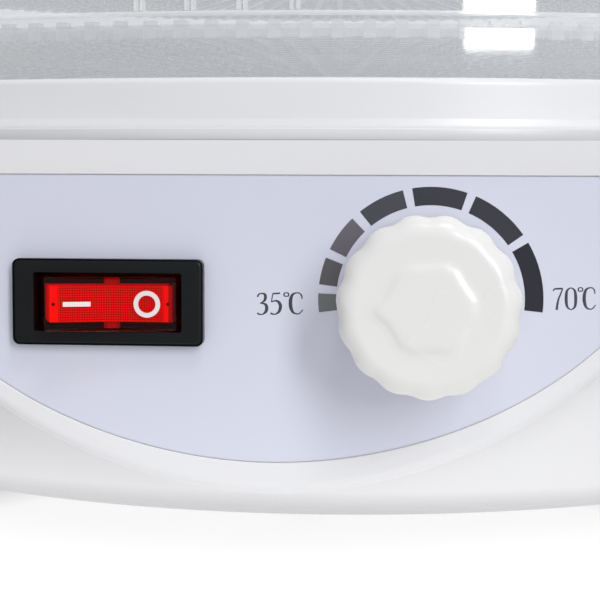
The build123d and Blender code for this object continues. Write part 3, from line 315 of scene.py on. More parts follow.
def clear_plastic(name, colour, ripple, ripple_bump, haze=0.0, mirror=1.0, glow=0.0, ior=1.59):
    """Clear moulded plastic: light passes straight through, its skin mirrors more at a slant, haze whitens it, and
    its glow is painted light for what the clear stack would scatter.
    """
    made, tree, place, output = started(name)
    stretched = add(tree, "ShaderNodeMapping", {"Scale": (1.0, 1.0, 4.0)}, {"Vector": place})
    waves = add(tree, "ShaderNodeTexNoise", {"Scale": per_mm(ripple), "Detail": 2.0},
                {"Vector": stretched.outputs[0]})
    relief = add(tree, "ShaderNodeBump", {"Strength": 1.0, "Distance": ripple_bump / METRE},
                 {"Height": waves.outputs["Fac"]})
    skin = add(tree, "ShaderNodeBsdfPrincipled",
               {"Base Color": (1, 1, 1, 1), "Metallic": mirror, "Roughness": 0.04, "IOR": ior,
                "Emission Color": (1, 1, 1, 1), "Emission Strength": glow},
               {"Normal": relief.outputs[0]})
    clear = add(tree, "ShaderNodeBsdfTransparent", {"Color": rgba(colour)})
    slant = add(tree, "ShaderNodeFresnel", {"IOR": ior}, {"Normal": relief.outputs[0]})
    share = add(tree, "ShaderNodeMapRange", {"To Min": haze, "To Max": 0.85}, {"Value": slant.outputs[0]})
    mixed = add(tree, "ShaderNodeMixShader", {}, {"Fac": share.outputs[0]})
    tree.links.new(clear.outputs[0], mixed.inputs[1])
    tree.links.new(skin.outputs[0], mixed.inputs[2])
    tree.links.new(mixed.outputs[0], output.inputs["Surface"])
    return made


MATERIALS = {}


def make_materials(colours):
    """Every finish of the dehydrator, by the record's slot or by the piece that wears it."""
    ready = MATERIALS
    # Glossy ABS from a polished mould: bright white, soft sharp-edged reflections, hardly any grain.
    ready["white_abs"] = polymer("glossy_white_abs", colours.shell, 0.25, 0.9, 0.0012, spread=0.004, sheen=0.35)
    # The bowl is the same ABS with painted shade: greyer in its creases and close to the table, where little light
    # gets in.
    ready["white_bowl_painted_shade"] = polymer("glossy_white_abs_bowl_painted_shade", colours.shell, 0.25, 0.9, 0.0012, spread=0.004,
                                  sheen=0.35, crease=12.0)
    # The same ABS, but from a mould left a little duller, as on parts under the trays.
    ready["white_grille"] = polymer("satin_white_abs", colours.shell, 0.4, 0.5, 0.004, spread=0.015)
    # Printed polycarbonate film: a cool pale lilac ground under a satin face.
    ready["label_sheet"] = polymer("printed_film", colours.label, 0.38, 0.35, 0.0012, 1.58, 0.01)
    # Glass-filled nylon 66 with a spark-eroded grain: near black, satin.
    ready["black_nylon"] = polymer("black_nylon_66", linear("#15171A"), 0.3, 0.22, 0.004, spread=0.1, sheen=0.2)
    # Gloss ABS in a warmer white than the shell.
    ready["ivory_abs"] = polymer("gloss_ivory_abs", colours.knob, 0.26, 1.2, 0.0008, spread=0.004)
    # Nylon 6 fan: translucent natural colour.
    ready["fan_nylon"] = polymer("natural_nylon_6", linear("#DAD7CC"), 0.45, 0.6, 0.006, spread=0.04)
    # EPDM rubber: soft black with a bloom.
    ready["black_rubber"] = polymer("epdm_rubber", linear("#1D1D1E"), 0.7, 0.4, 0.01, 1.5, 0.15)
    # Silicone lead insulation.
    ready["lead_silicone"] = polymer("silicone_sleeve", linear("#C9C3B4"), 0.5, 0.5, 0.004, 1.41, 0.06)
    # Steatite ceramic: unglazed, chalky white.
    ready["ceramic"] = polymer("steatite_ceramic", linear("#E2DDD0"), 0.75, 0.3, 0.02, 1.6, 0.05)
    # Baking lacquer over the motor's laminated can.
    ready["motor_lacquer"] = polymer("motor_lacquer", linear("#3A3D40"), 0.35, 1.0, 0.01, 1.5, 0.08)
    # Phenolic case of the thermal cut-out.
    ready["cutout_case"] = polymer("phenolic_case", linear("#4B2E22"), 0.5, 0.3, 0.008, 1.55, 0.08)
    # Bare metals: the lines of drawing, rolling or turning run along each piece, and plating is evenly grained.
    ready["tin_brass"] = metal("tinned_brass", linear("#CFC9B8"), 0.3, 0.6, (1, 8, 1))
    ready["zinc_steel"] = metal("zinc_plated_steel", linear("#C9CBCC"), 0.35, 0.8)
    ready["turned_steel"] = metal("turned_steel", linear("#B9BABC"), 0.22, 0.5, (1, 1, 12))
    ready["copper"] = metal("drawn_copper", linear("#C77B53"), 0.28, 0.6, (1, 1, 6))
    ready["shield_aluminium"] = metal("rolled_aluminium", linear("#C6C8CA"), 0.3, 1.0, (1, 1, 10))
    ready["heater_steel"] = metal("oxidised_heater_steel", linear("#6B6660"), 0.5, 0.9, spread=0.25)
    # Crystal polystyrene: clear with a faint grey and gentle waves from the mould, and a painted glow that brightens
    # the trays for the light their stack would scatter.
    clear = linear("#F8F9FA")
    ready["clear_ps"] = clear_plastic("crystal_polystyrene", clear, 14.0, 0.001, haze=0.12, mirror=0.5, glow=0.155)
    # The lid's top is thin and polished, so it stays clearer than the trays; it has only a faint painted glow.
    ready["clear_lid"] = clear_plastic("polished_polystyrene", clear, 14.0, 0.002, haze=0.04, mirror=0.5, glow=0.02)
    # The trays' floors scatter light at their many small edges, so they read whiter: a painted glow stands in for
    # that scattered light.
    ready["tray_web"] = clear_plastic("webbed_polystyrene", clear, 3.0, 0.05, haze=0.2, mirror=0.0, glow=0.09)
    # Frosted edges of the same plastic: lines, lugs and ribs that catch the light, shown by a painted glow.
    ready["tray_edge"] = clear_plastic("frosted_polystyrene", clear, 3.0, 0.05, haze=0.3, mirror=0.0, glow=0.1)
    # Red polycarbonate as one plain piece, for the record's slot.
    ready["red_lens"] = polymer("red_polycarbonate", linear("#D81E10"), 0.15, 0.8, 0.001, 1.58, 0.03)
    # Screen ink, flat and slightly uneven where it is thin; the dial's bars run from grey to near black.
    ready["dark_ink"] = polymer("dark_screen_ink", linear("#3E3D47"), 0.5, 0.25, 0.0005, 1.5, 0.06)
    shades = ("#767879", "#626064", "#6B676F", "#4B4C54", "#3D3D45", "#3B3B43", "#2E2E37")
    for number, shade in enumerate(shades, 1):
        ready[f"ink_{number}"] = polymer(f"bar_ink_{number}", linear(shade), 0.5, 0.25, 0.0005, 1.5, 0.06, sheen=0.2)
    # Pad-printed ink on the rocker, a warm white.
    ready["white_ink"] = polymer("white_pad_ink", linear("#F4E6E6"), 0.35, 0.25, 0.0005, 1.5, 0.03)
    # Clear red polycarbonate over the neon lamp's diffuser.
    ready["rocker_lens"] = clear_plastic("clear_red_polycarbonate", linear("#FF8A7A"), 9.0, 0.002, ior=1.3)
    # The diffuser glows a little, as it does beside its lamp; the prism sheet on it is a deeper red.
    ready["rocker_core"] = polymer("lit_red_diffuser", linear("#FF1A04"), 0.4, 0.5, 0.001, 1.5, 0.06,
                                   sheen=0.1, glow=0.18)
    ready["rocker_grid"] = polymer("red_prism_sheet", linear("#B00C05"), 0.3, 0.5, 0.001, 1.5, 0.06,
                                   sheen=0.1, glow=0.1)
    # A darker red copy of the rocker's plastic, painted shade on its far end, which the lamp doesn't reach.
    ready["rocker_cheek"] = polymer("shaded_red_polycarbonate", linear("#B00C06"), 0.3, 0.5, 0.001, 1.5, 0.06,
                                    sheen=0.1)
    ready["rocker_end"] = polymer("deep_red_polycarbonate", linear("#5A0404"), 0.2, 0.5, 0.001, 1.58, 0.06)
    return ready


# ---------------------------------------------------------------- modelling helpers


def deselect():
    """Leaves edit mode with nothing selected."""
    if bpy.context.mode != "OBJECT":
        bpy.ops.object.mode_set(mode="OBJECT")
    bpy.ops.object.select_all(action="DESELECT")


def use(obj):
    """Makes obj the only selected object."""
    deselect()
    obj.select_set(True)
    bpy.context.view_layer.objects.active = obj


def select(obj, kind, test):
    """In edit mode, selects the vertices, edges or faces whose middle passes the test."""
    bpy.ops.mesh.select_mode(type=kind)
    bpy.ops.mesh.select_all(action="DESELECT")
    mesh = bmesh.from_edit_mesh(obj.data)
    for item in {"VERT": mesh.verts, "EDGE": mesh.edges, "FACE": mesh.faces}[kind]:
        corners = [item] if kind == "VERT" else item.verts
        middle = sum((v.co for v in corners), Vector()) / len(corners)
        item.select_set(bool(test(middle, item)))
    mesh.select_flush_mode()
    bmesh.update_edit_mesh(obj.data)


def clean(obj):
    """Merges doubles and points every face outwards."""
    if bpy.context.mode != "EDIT_MESH":
        use(obj)
        bpy.ops.object.mode_set(mode="EDIT")
    bpy.ops.mesh.select_all(action="SELECT")
    bpy.ops.mesh.remove_doubles(threshold=WELD)
    bpy.ops.mesh.normals_make_consistent(inside=False)
    bpy.ops.object.mode_set(mode="OBJECT")
    return obj


def rounded(corners, steps=6):
    """An outline from corners (x, y) or (x, y, radius), with an arc at each corner that has a radius."""
    points = []
    for k, corner in enumerate(corners):
        here = Vector(corner[:2])
        if len(corner) < 3 or corner[2] <= 0:
            points.append(tuple(here))
            continue
        before = (Vector(corners[k - 1][:2]) - here).normalized()
        after = (Vector(corners[(k + 1) % len(corners)][:2]) - here).normalized()
        half = before.angle(after) / 2
        centre = here + (before + after).normalized() * corner[2] / math.sin(half)
        start = here + before * corner[2] / math.tan(half) - centre
        end = here + after * corner[2] / math.tan(half) - centre
        sweep = start.angle_signed(end)
        for j in range(steps + 1):
            turn = -sweep * j / steps
            cos, sin = math.cos(turn), math.sin(turn)
            points.append((centre.x + start.x * cos - start.y * sin, centre.y + start.x * sin + start.y * cos))
    return points


def drawn(name, corners, closed=True):
    """A line drawn by extruding one vertex from corner to corner, left in edit mode and selected."""
    deselect()
    bpy.ops.mesh.primitive_plane_add(size=1)
    obj = bpy.context.object
    obj.name = name
    bpy.ops.object.mode_set(mode="EDIT")
    bpy.ops.mesh.select_mode(type="VERT")
    bpy.ops.mesh.merge(type="CENTER")
    corners = [Vector(corner) for corner in corners]
    bpy.ops.transform.translate(value=corners[0])
    path = corners + corners[:1] if closed else corners
    for start, end in zip(path, path[1:]):
        bpy.ops.mesh.extrude_region_move(TRANSFORM_OT_translate={"value": end - start})
    bpy.ops.mesh.select_all(action="SELECT")
    bpy.ops.mesh.remove_doubles(threshold=WELD)
    bpy.ops.mesh.select_all(action="SELECT")
    return obj


def turned(name, outline, segments=SEGMENTS):
    """A solid turned about the upright axis from an outline of (radius, height)."""
    open_line = outline[0][0] == 0 and outline[-1][0] == 0
    obj = drawn(name, [(r, 0, z) for r, z in outline], closed=not open_line)
    bpy.ops.mesh.spin(steps=segments, angle=FULL_TURN, center=(0, 0, 0), axis=(0, 0, 1))
    return clean(obj)


def slab(name, outline, front, back):
    """A plate parallel to the panel from an outline of (x, z), between two distances in front of the axis."""
    obj = drawn(name, [(x, -back, z) for x, z in outline])
    bpy.ops.mesh.edge_face_add()
    bpy.ops.mesh.extrude_region_move(TRANSFORM_OT_translate={"value": (0, back - front, 0)})
    return clean(obj)


def block(name, low, high):
    """A box between two corners, to be shaped or used as a tool."""
    deselect()
    middle = (Vector(low) + Vector(high)) / 2
    bpy.ops.mesh.primitive_cube_add(size=1, location=middle, scale=Vector(high) - Vector(low))
    obj = bpy.context.object
    obj.name = name
    bpy.ops.object.transform_apply(location=True, rotation=True, scale=True)
    return obj


def rod(name, radius, start, end, vertices=48):
    """A cylinder between two points."""
    deselect()
    start, end = Vector(start), Vector(end)
    turn = (end - start).to_track_quat("Z", "Y").to_euler()
    bpy.ops.mesh.primitive_cylinder_add(vertices=vertices, radius=radius, depth=(end - start).length,
                                        location=(start + end) / 2, rotation=turn)
    obj = bpy.context.object
    obj.name = name
    bpy.ops.object.transform_apply(location=True, rotation=True, scale=True)
    return obj


def modify(obj, kind, **settings):
    """Adds a modifier and applies it."""
    use(obj)
    bpy.ops.object.modifier_add(type=kind)
    made = obj.modifiers[-1]
    for name, value in settings.items():
        setattr(made, name, value)
    bpy.ops.object.modifier_apply(modifier=made.name)
    return obj


def join(pieces):
    """One object from several."""
    use(pieces[0])
    for piece in pieces[1:]:
        piece.select_set(True)
    if len(pieces) > 1:
        bpy.ops.object.join()
    return pieces[0]


def combine(obj, tools, operation, overlapping=False):
    """Adds the tools to obj or cuts them out of it."""
    tool = join(tools)
    modify(obj, "BOOLEAN", object=tool, operation=operation, solver="EXACT", use_self=overlapping)
    bpy.data.objects.remove(tool)
    return obj


def on_circle(radius, degrees, z=0.0):
    """A point round the upright axis."""
    return radius * math.cos(math.radians(degrees)), radius * math.sin(math.radians(degrees)), z


def ringed(obj, count, pitch):
    """Repeats a piece round the upright axis, count in all and pitch radians apart."""
    use(obj)
    bpy.ops.object.mode_set(mode="EDIT")
    bpy.ops.mesh.select_all(action="SELECT")
    bpy.ops.mesh.spin(steps=count - 1, angle=pitch * (count - 1), dupli=True, center=(0, 0, 0), axis=(0, 0, 1))
    bpy.ops.object.mode_set(mode="OBJECT")
    return obj


def copied(obj, name, shift=(0, 0, 0)):
    """A copy with its own mesh."""
    made = obj.copy()
    made.data = obj.data.copy()
    made.name = name
    bpy.context.scene.collection.objects.link(made)
    use(made)
    made.location = shift
    bpy.ops.object.transform_apply(location=True, rotation=False, scale=False)
    return made


def finished(obj, finish, body, smooth=30, replaces=()):
    """Makes a piece metres, shades it, gives it its material and its body, and stands it in for CAD nodes."""
    use(obj)
    obj.scale = (1 / METRE, 1 / METRE, 1 / METRE)
    bpy.ops.object.transform_apply(location=True, rotation=True, scale=True)
    bpy.ops.object.shade_smooth_by_angle(angle=math.radians(smooth))
    obj.data.materials.clear()
    obj.data.materials.append(MATERIALS[finish])
    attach(obj, body)
    if replaces:
        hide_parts(*replaces)
    return obj


# ---------------------------------------------------------------- settings a user would change


class DehydratorColours(bpy.types.PropertyGroup):
    """Colours of the visible plastics"""
    shell: bpy.props.FloatVectorProperty(
        name="Shell", description="White of the base", subtype="COLOR", size=3, default=linear("#EBEBED"))
    label: bpy.props.FloatVectorProperty(
        name="Label", description="Ground of the printed label", subtype="COLOR", size=3,
        default=linear("#DADCEB"))
    knob: bpy.props.FloatVectorProperty(
        name="Knob", description="White of the thermostat knob", subtype="COLOR", size=3,
        default=linear("#F1F0EE"))


def length(name, description, millimetres):
    """A length setting that Blender shows in its own units."""
    return bpy.props.FloatProperty(name=name, description=description, default=millimetres / METRE, min=0,
                                   unit="LENGTH", precision=5)


class DehydratorSizes(bpy.types.PropertyGroup):
    """Sizes of the visible details"""
    knob_lobes: bpy.props.IntProperty(name="Knob lobes", description="Scallops round the knob", default=15, min=3)
    knob_taper: bpy.props.FloatProperty(
        name="Knob taper", description="Width of the knob's back against its widest ring", default=0.955, min=0.5,
        max=1, subtype="FACTOR")
    hexagon: length("Hexagon", "Raised hexagon of the knob across its flats", 13.2)
    plateau_rise: length("Hexagon height", "How far the hexagon stands on the knob", 0.43)
    dial_inner: length("Dial inner radius", "Inner radius of the printed bars", 14.9)
    dial_outer: length("Dial outer radius", "Outer radius of the printed bars", 17.8)
    letter_height: length("Letter height", "Height of the printed temperatures", 3.45)
    letter_weight: bpy.props.FloatProperty(
        name="Letter weight", description="Stroke width against the drawn one", default=1.3, min=0.5, max=2)
    grid_pitch: length("Rocker grid", "Distance between the prisms under the rocker's face", 0.39)
    grid_bar: length("Rocker grid bar", "Width of the lines between those prisms", 0.13)
    tray_bar: length("Tray bar", "Width of the bars of a tray's floor", 1.6)
    tray_line: length("Tray line", "Height of the bead outside a tray", 0.75)
    tray_lugs: bpy.props.IntProperty(
        name="Tray lugs", description="Short upright lugs where a tray's floor meets its wall", default=192, min=3)
    tray_ribs: bpy.props.IntProperty(
        name="Tray ribs", description="Pairs of ribs in each of four groups outside a tray", default=4, min=1, max=20)
    lid_vent: length("Lid vent", "Width of the lid's slots", 3.4)


def size_mm(name):
    """A length from the settings in millimetres."""
    return getattr(bpy.context.scene.dehydrator_sizes, name) * METRE


class DehydratorStudio(bpy.types.PropertyGroup):
    """Camera and light"""
    lens: bpy.props.FloatProperty(
        name="Lens", description="Focal length of the camera on a 36 mm wide sensor", default=96.4, min=20,
        unit="CAMERA")
    key_power: bpy.props.FloatProperty(
        name="Key light", description="Power of the large soft light at the right", default=7.0, min=0,
        unit="POWER")
    # The table's glow under the object is a painted pool of light that hides the object's shadow there.
    table_glow: bpy.props.FloatProperty(
        name="Table glow", description="How brightly the backlit table shines under the object", default=0.82, min=0)
    table_dim: bpy.props.FloatProperty(
        name="Table glow around", description="How brightly the table shines round the object", default=0.18, min=0)


# ---------------------------------------------------------------- stage


class DEHYDRATOR_OT_stage(bpy.types.Operator):
    """White table that glows, with a painted pool of light under the object, soft lights and the camera in front of
    the panel
    """
    bl_idname = "dehydrator.stage"
    bl_label = "Stage"

    def execute(self, context):
        studio = context.scene.dehydrator_studio
        deselect()
        bpy.ops.mesh.primitive_grid_add(x_subdivisions=8, y_subdivisions=8, size=14)
        table = context.object
        table.name = "table"
        bpy.ops.object.mode_set(mode="EDIT")
        select(table, "EDGE", lambda middle, item: middle.y > 6.9)
        bpy.ops.mesh.extrude_region_move(TRANSFORM_OT_translate={"value": (0, 0, 6)})
        deselect()
        made, tree, place, output = started("glowing_table_painted_pool")
        milk = add(tree, "ShaderNodeTexNoise", {"Scale": per_mm(400)}, {"Vector": place})
        tint = add(tree, "ShaderNodeMix", {"data_type": "RGBA"}, {"Factor": milk.outputs["Fac"]})
        tint.inputs[6].default_value = rgba(linear("#7C7C7C"))
        tint.inputs[7].default_value = rgba(linear("#828282"))
        # Its glow is partly real light on the scene and partly a painted pool of light: it shines fully under the
        # object, where it hides the object's shadow on the table, and far behind it, and less in between, where it
        # would light the base.
        reach = add(tree, "ShaderNodeVectorMath", {"operation": "DISTANCE", 1: PAINTED_POOL_MIDDLE},
                    {0: place}).outputs["Value"]
        near = add(tree, "ShaderNodeMapRange",
                   {"From Min": PAINTED_POOL_INNER, "From Max": PAINTED_POOL_OUTER, "To Min": studio.table_glow,
                    "To Max": studio.table_dim}, {"Value": reach})
        far = add(tree, "ShaderNodeMapRange",
                  {"From Min": GLOW_FROM, "From Max": GLOW_TO, "To Min": 0.0,
                   "To Max": studio.table_glow - studio.table_dim}, {"Value": reach})
        glow = add(tree, "ShaderNodeMath", {"operation": "ADD"}, {0: near.outputs[0], 1: far.outputs[0]})
        shader = add(tree, "ShaderNodeBsdfPrincipled", {"Roughness": 0.6, "Emission Color": (1, 1, 1, 1)},
                     {"Base Color": tint.outputs[2], "Emission Strength": glow.outputs[0]})
        tree.links.new(shader.outputs[0], output.inputs["Surface"])
        table.data.materials.append(made)

        world = bpy.data.worlds.new("studio_air")
        context.scene.world = world
        world.use_nodes = True
        world.node_tree.nodes["Background"].inputs["Color"].default_value = (0.95, 0.96, 1.0, 1)
        world.node_tree.nodes["Background"].inputs["Strength"].default_value = AIR_GLOW

        # A tall narrow softbox at the right of the camera and a wide one overhead.
        self.soft_light("key_softbox", (0.578, -1.17, 0.554), (0, -0.1, 0.08), (0.25, 0.8), studio.key_power)
        self.soft_light("overhead_softbox", (0.3, -0.7, 1.4), (0, -0.1, 0.1), (0.4, 0.25), OVERHEAD_POWER)

        deselect()
        bpy.ops.object.camera_add()
        camera = context.object
        camera.name = "panel_camera"
        camera.data.lens = studio.lens
        camera.data.sensor_width = 36
        camera.data.clip_start = 0.01
        camera.data.dof.use_dof = False
        turn = (Matrix.Rotation(CAMERA_PAN, 4, "Z") @ Matrix.Rotation(math.pi / 2 + CAMERA_TILT, 4, "X")
                @ Matrix.Rotation(CAMERA_ROLL, 4, "Z"))
        camera.matrix_world = Matrix.Translation(CAMERA_PLACE) @ turn
        context.scene.camera = camera
        # A line of sight through the trays crosses dozens of clear walls, floors and bars.
        context.scene.cycles.transparent_max_bounces = 64
        context.scene.view_settings.view_transform = "Standard"
        return {"FINISHED"}

    @staticmethod
    def soft_light(name, place, target, size, power):
        """A rectangular area light that faces its target."""
        bpy.ops.object.light_add(type="AREA", location=place)
        light = bpy.context.object
        light.name = name
        light.data.shape = "RECTANGLE"
        light.data.size, light.data.size_y = size
        light.data.energy = power
        light.rotation_euler = (Vector(target) - Vector(place)).to_track_quat("-Z", "Y").to_euler()
        return light


# ---------------------------------------------------------------- base


def bowl_line(inset, top):
    """Half the bowl's outline as (radius, height), drawn in by inset and cut flat at top, from the axis outwards."""
    side, low = BOWL_R - inset, BASE_Z + inset
    arc = [(BOWL_FLAT_R + (side - BOWL_FLAT_R) * math.sin(math.radians(a)),
            BOWL_ROUND_TOP - (BOWL_ROUND_TOP - low) * math.cos(math.radians(a))) for a in range(0, 91, 3)]
    return [(0, low), *arc, (side, top)]


class DEHYDRATOR_OT_bowl(bpy.types.Operator):
    """The base's lower shell with its bead, rear boss, posts and openings"""
    bl_idname = "dehydrator.bowl"
    bl_label = "Lower shell"

    def execute(self, context):
        bead_foot = BEAD_TOP - BEAD_HEIGHT
        bowl = turned("lower_shell", rounded([*bowl_line(0, bead_foot), (BEAD_R, bead_foot, 0.2),
                                              (BEAD_R, BEAD_TOP, 0.25), (0, BEAD_TOP)], 4))
        boss = turned("boss", rounded([(0, 0), (INLET_BOSS_R, 0), (INLET_BOSS_R, BOSS_FACE - BOWL_FLAT_R, 2.0),
                                       (0, BOSS_FACE - BOWL_FLAT_R)], 8), 64)
        boss.rotation_euler = (-math.pi / 2, 0, 0)
        boss.location = (0, BOWL_FLAT_R, INLET_Z)
        use(boss)
        bpy.ops.object.transform_apply(location=True, rotation=True, scale=False)
        combine(bowl, [boss], "UNION")
        combine(bowl, [turned("hollow", [*bowl_line(WALL, BEAD_TOP + 1), (0, BEAD_TOP + 1)])], "DIFFERENCE")
        posts = [rod("post", POST_R, on_circle(POST_RING, a, BASE_Z + 0.5), on_circle(POST_RING, a, POST_TOP))
                 for a in POST_ANGLES]
        combine(bowl, posts, "UNION")
        cuts = [rod("opening", COVER_OPENING_R, (0, 0, 0), (0, 0, BASE_Z + WALL + 1), SEGMENTS)]
        cuts += [rod("well", SCREW_WELL_R, on_circle(POST_RING, a, 0), on_circle(POST_RING, a, POST_TOP - 3))
                 for a in POST_ANGLES]
        cuts.append(rod("cord_hole", CORD_HOLE_R, (0, BOWL_FLAT_R, INLET_Z), (0, BOSS_FACE + 1, INLET_Z)))
        cuts.append(block("window", (-43, -PANEL_FRONT, 36), (43, -BOWL_FLAT_R, 66)))
        combine(bowl, cuts, "DIFFERENCE")
        finished(bowl, "white_bowl_painted_shade", "base", replaces=["lower_housing"])
        return {"FINISHED"}


class DEHYDRATOR_OT_deck(bpy.types.Operator):
    """The band that the trays stand in, with the deck and the air duct below it"""
    bl_idname = "dehydrator.deck"
    bl_label = "Upper band and deck"

    def execute(self, context):
        lip, face = BAND_R - LIP_WALL, BAND_R - BAND_SETBACK
        spigot = BOWL_R - WALL - 0.1
        outline = rounded([
            (DUCT_R, DUCT_BOTTOM), (DUCT_R, DECK_TOP, 0.5), (lip - 7, DECK_TOP, 0.6), (lip - 7, LEDGE_Z, 0.3),
            (lip, LEDGE_Z), (lip, BAND_TOP, 0.4), (face, BAND_TOP, 1.0), (face, BAND_TOP - 1.3),
            (face, BEAD_TOP + 2.1), (face, BEAD_TOP + 1.5, 0.5),
            (BAND_R, BEAD_TOP + 0.4, 0.25), (BAND_R, BEAD_TOP),
            (spigot, BEAD_TOP), (spigot, BEAD_TOP - SPIGOT_DEPTH), (spigot - WALL, BEAD_TOP - SPIGOT_DEPTH),
            (spigot - WALL, BEAD_TOP),
            (DUCT_R + DUCT_WALL, BEAD_TOP), (DUCT_R + DUCT_WALL, DUCT_BOTTOM)])
        deck = turned("upper_band", outline)
        posts = [rod("post", 4.5, on_circle(POST_RING, a, POST_TOP + 0.1), on_circle(POST_RING, a, BEAD_TOP + 0.5))
                 for a in POST_ANGLES]
        combine(deck, posts, "UNION")
        finished(deck, "white_abs", "base", replaces=["upper_deck"])
        return {"FINISHED"}


# ---------------------------------------------------------------- panel


def panel_line(half_width, depth, top, bulge, steps=96):
    """A straight band above the lower half of an oval, as (x, z) points."""
    points = []
    for k in range(steps + 1):
        across, down = math.cos(math.pi * k / steps), math.sin(math.pi * k / steps)
        points.append((math.copysign(abs(across) ** (2 / bulge), across) * half_width,
                       PANEL_OVAL_Z - abs(down) ** (2 / bulge) * depth))
    return [*points, (-half_width, top), (half_width, top)]


def panel_holes(spare):
    """Tools that open a sheet for the switch, with spare room round its body, and for the knob's shaft."""
    wide, high = SWITCH_BODY_HALF_LENGTH + spare, SWITCH_BODY_HALF_HEIGHT + spare
    return [block("switch_hole", (SWITCH_X - wide, -PANEL_FRONT - 1, SWITCH_Z - high),
                  (SWITCH_X + wide, -PANEL_FRONT + 5, SWITCH_Z + high)),
            rod("shaft_hole", SHAFT_HOLE_R, (KNOB_X, -PANEL_FRONT - 1, KNOB_Z), (KNOB_X, -PANEL_FRONT + 5, KNOB_Z))]


class DEHYDRATOR_OT_fascia(bpy.types.Operator):
    """The raised frame of the panel, with its rolled edge and the recess for the label"""
    bl_idname = "dehydrator.fascia"
    bl_label = "Panel frame"

    def execute(self, context):
        outline = panel_line(PANEL_HALF_WIDTH, PANEL_DEPTH, PANEL_HIGH.z + PANEL_EDGE_ROUND, PANEL_BULGE)
        frame_piece = slab("panel_frame", outline, PANEL_FRONT - PANEL_EDGE_ROUND, BOWL_FLAT_R)
        bpy.ops.object.mode_set(mode="EDIT")
        select(frame_piece, "FACE", lambda middle, face: face.normal.y < -0.9)
        steps = 7
        for k in range(steps):
            start, end = (math.pi / 2 * j / steps for j in (k, k + 1))
            bpy.ops.mesh.inset(thickness=PANEL_EDGE_ROUND * (math.cos(start) - math.cos(end)),
                               depth=PANEL_EDGE_ROUND * (math.sin(end) - math.sin(start)))
        bpy.ops.mesh.inset(thickness=0.1, depth=0)
        bpy.ops.object.mode_set(mode="OBJECT")
        # Its top is cut flat, just above the bead.
        combine(frame_piece, [block("top", (-100, -PANEL_FRONT - 9, PANEL_HIGH.z + 0.08),
                                    (100, 0, PANEL_HIGH.z + 9))], "DIFFERENCE")
        inner = panel_line(PANEL_HALF_WIDTH - WALL, PANEL_DEPTH - WALL, PANEL_HIGH.z - WALL, PANEL_BULGE)
        combine(frame_piece, [slab("hollow", inner, PANEL_FRONT - 2.6, BOWL_FLAT_R - 1)], "DIFFERENCE")
        combine(frame_piece, [turned("bowl_room", [*bowl_line(-0.1, BEAD_TOP + 9), (0, BEAD_TOP + 9)])],
                "DIFFERENCE")
        recess = panel_line(LABEL_HALF_WIDTH + RECESS_GAP, LABEL_DEPTH + RECESS_GAP, LABEL_HIGH.z + RECESS_GAP,
                            LABEL_BULGE)
        combine(frame_piece, [slab("recess", recess, PANEL_FRONT + 1, PANEL_FRONT - RECESS_DEPTH)], "DIFFERENCE")
        combine(frame_piece, panel_holes(0.2), "DIFFERENCE")
        bpy.ops.object.mode_set(mode="EDIT")
        select(frame_piece, "EDGE", lambda middle, edge: all(
            abs(v.co.y + PANEL_FRONT) < 0.01 for v in edge.verts) and recess_rim(middle) and
            min(face.normal.y for face in edge.link_faces) < -0.9
            and max(abs(face.normal.y) for face in edge.link_faces) > 0.9
            and min(abs(face.normal.y) for face in edge.link_faces) < 0.1)
        bpy.ops.mesh.bevel(offset=0.18, segments=3)
        bpy.ops.object.mode_set(mode="OBJECT")
        finished(frame_piece, "white_abs", "base", 40, replaces=["control_fascia"])
        return {"FINISHED"}


def recess_rim(point):
    """True at the label recess's edge, away from the panel's own outer edge."""
    wide, deep = LABEL_HALF_WIDTH + RECESS_GAP, LABEL_DEPTH + RECESS_GAP
    if point.z > PANEL_OVAL_Z:
        return abs(abs(point.x) - wide) < 0.3 or abs(point.z - LABEL_HIGH.z - RECESS_GAP) < 0.05
    return abs(abs(point.x / wide) ** LABEL_BULGE + abs((PANEL_OVAL_Z - point.z) / deep) ** LABEL_BULGE - 1) < 0.02


class DEHYDRATOR_OT_label(bpy.types.Operator):
    """The printed film that lies in the panel's recess"""
    bl_idname = "dehydrator.label"
    bl_label = "Label film"

    def execute(self, context):
        outline = panel_line(LABEL_HALF_WIDTH, LABEL_DEPTH, LABEL_HIGH.z, LABEL_BULGE)
        film = slab("label_film", outline, LABEL_FRONT, -LABEL_HIGH.y)
        combine(film, panel_holes(0.1), "DIFFERENCE")
        finished(film, "label_sheet", "base", replaces=["control_label"])
        return {"FINISHED"}


def arc_points(radius, start, end, steps):
    """Points on a circle round the knob, as (x, z)."""
    return [(KNOB_X + radius * math.cos(math.radians(start + (end - start) * k / steps)),
             KNOB_Z + radius * math.sin(math.radians(start + (end - start) * k / steps)))
            for k in range(steps + 1)]


class DEHYDRATOR_OT_dial(bpy.types.Operator):
    """The printed scale round the knob: seven bars that darken with the heat, and its two temperatures"""
    bl_idname = "dehydrator.dial"
    bl_label = "Dial print"

    def execute(self, context):
        for number, (start, end, finish) in enumerate(DIAL_BARS, 1):
            steps = max(4, round((end - start) / 2))
            outline = (arc_points(size_mm("dial_outer"), start, end, steps)
                       + arc_points(size_mm("dial_inner"), end, start, steps))
            bar = slab(f"dial_bar_{number}", outline, LABEL_FRONT + PRINT, LABEL_FRONT)
            finished(bar, finish, "base")
        for name, text, x, z, stretch in (("print_35", "35*C", 1.75, 48.15, 1.21),
                                          ("print_70", "70*C", 48.3, 49.45, 1.08)):
            finished(written(name, text, x, z, stretch), "dark_ink", "base", 60)
        return {"FINISHED"}


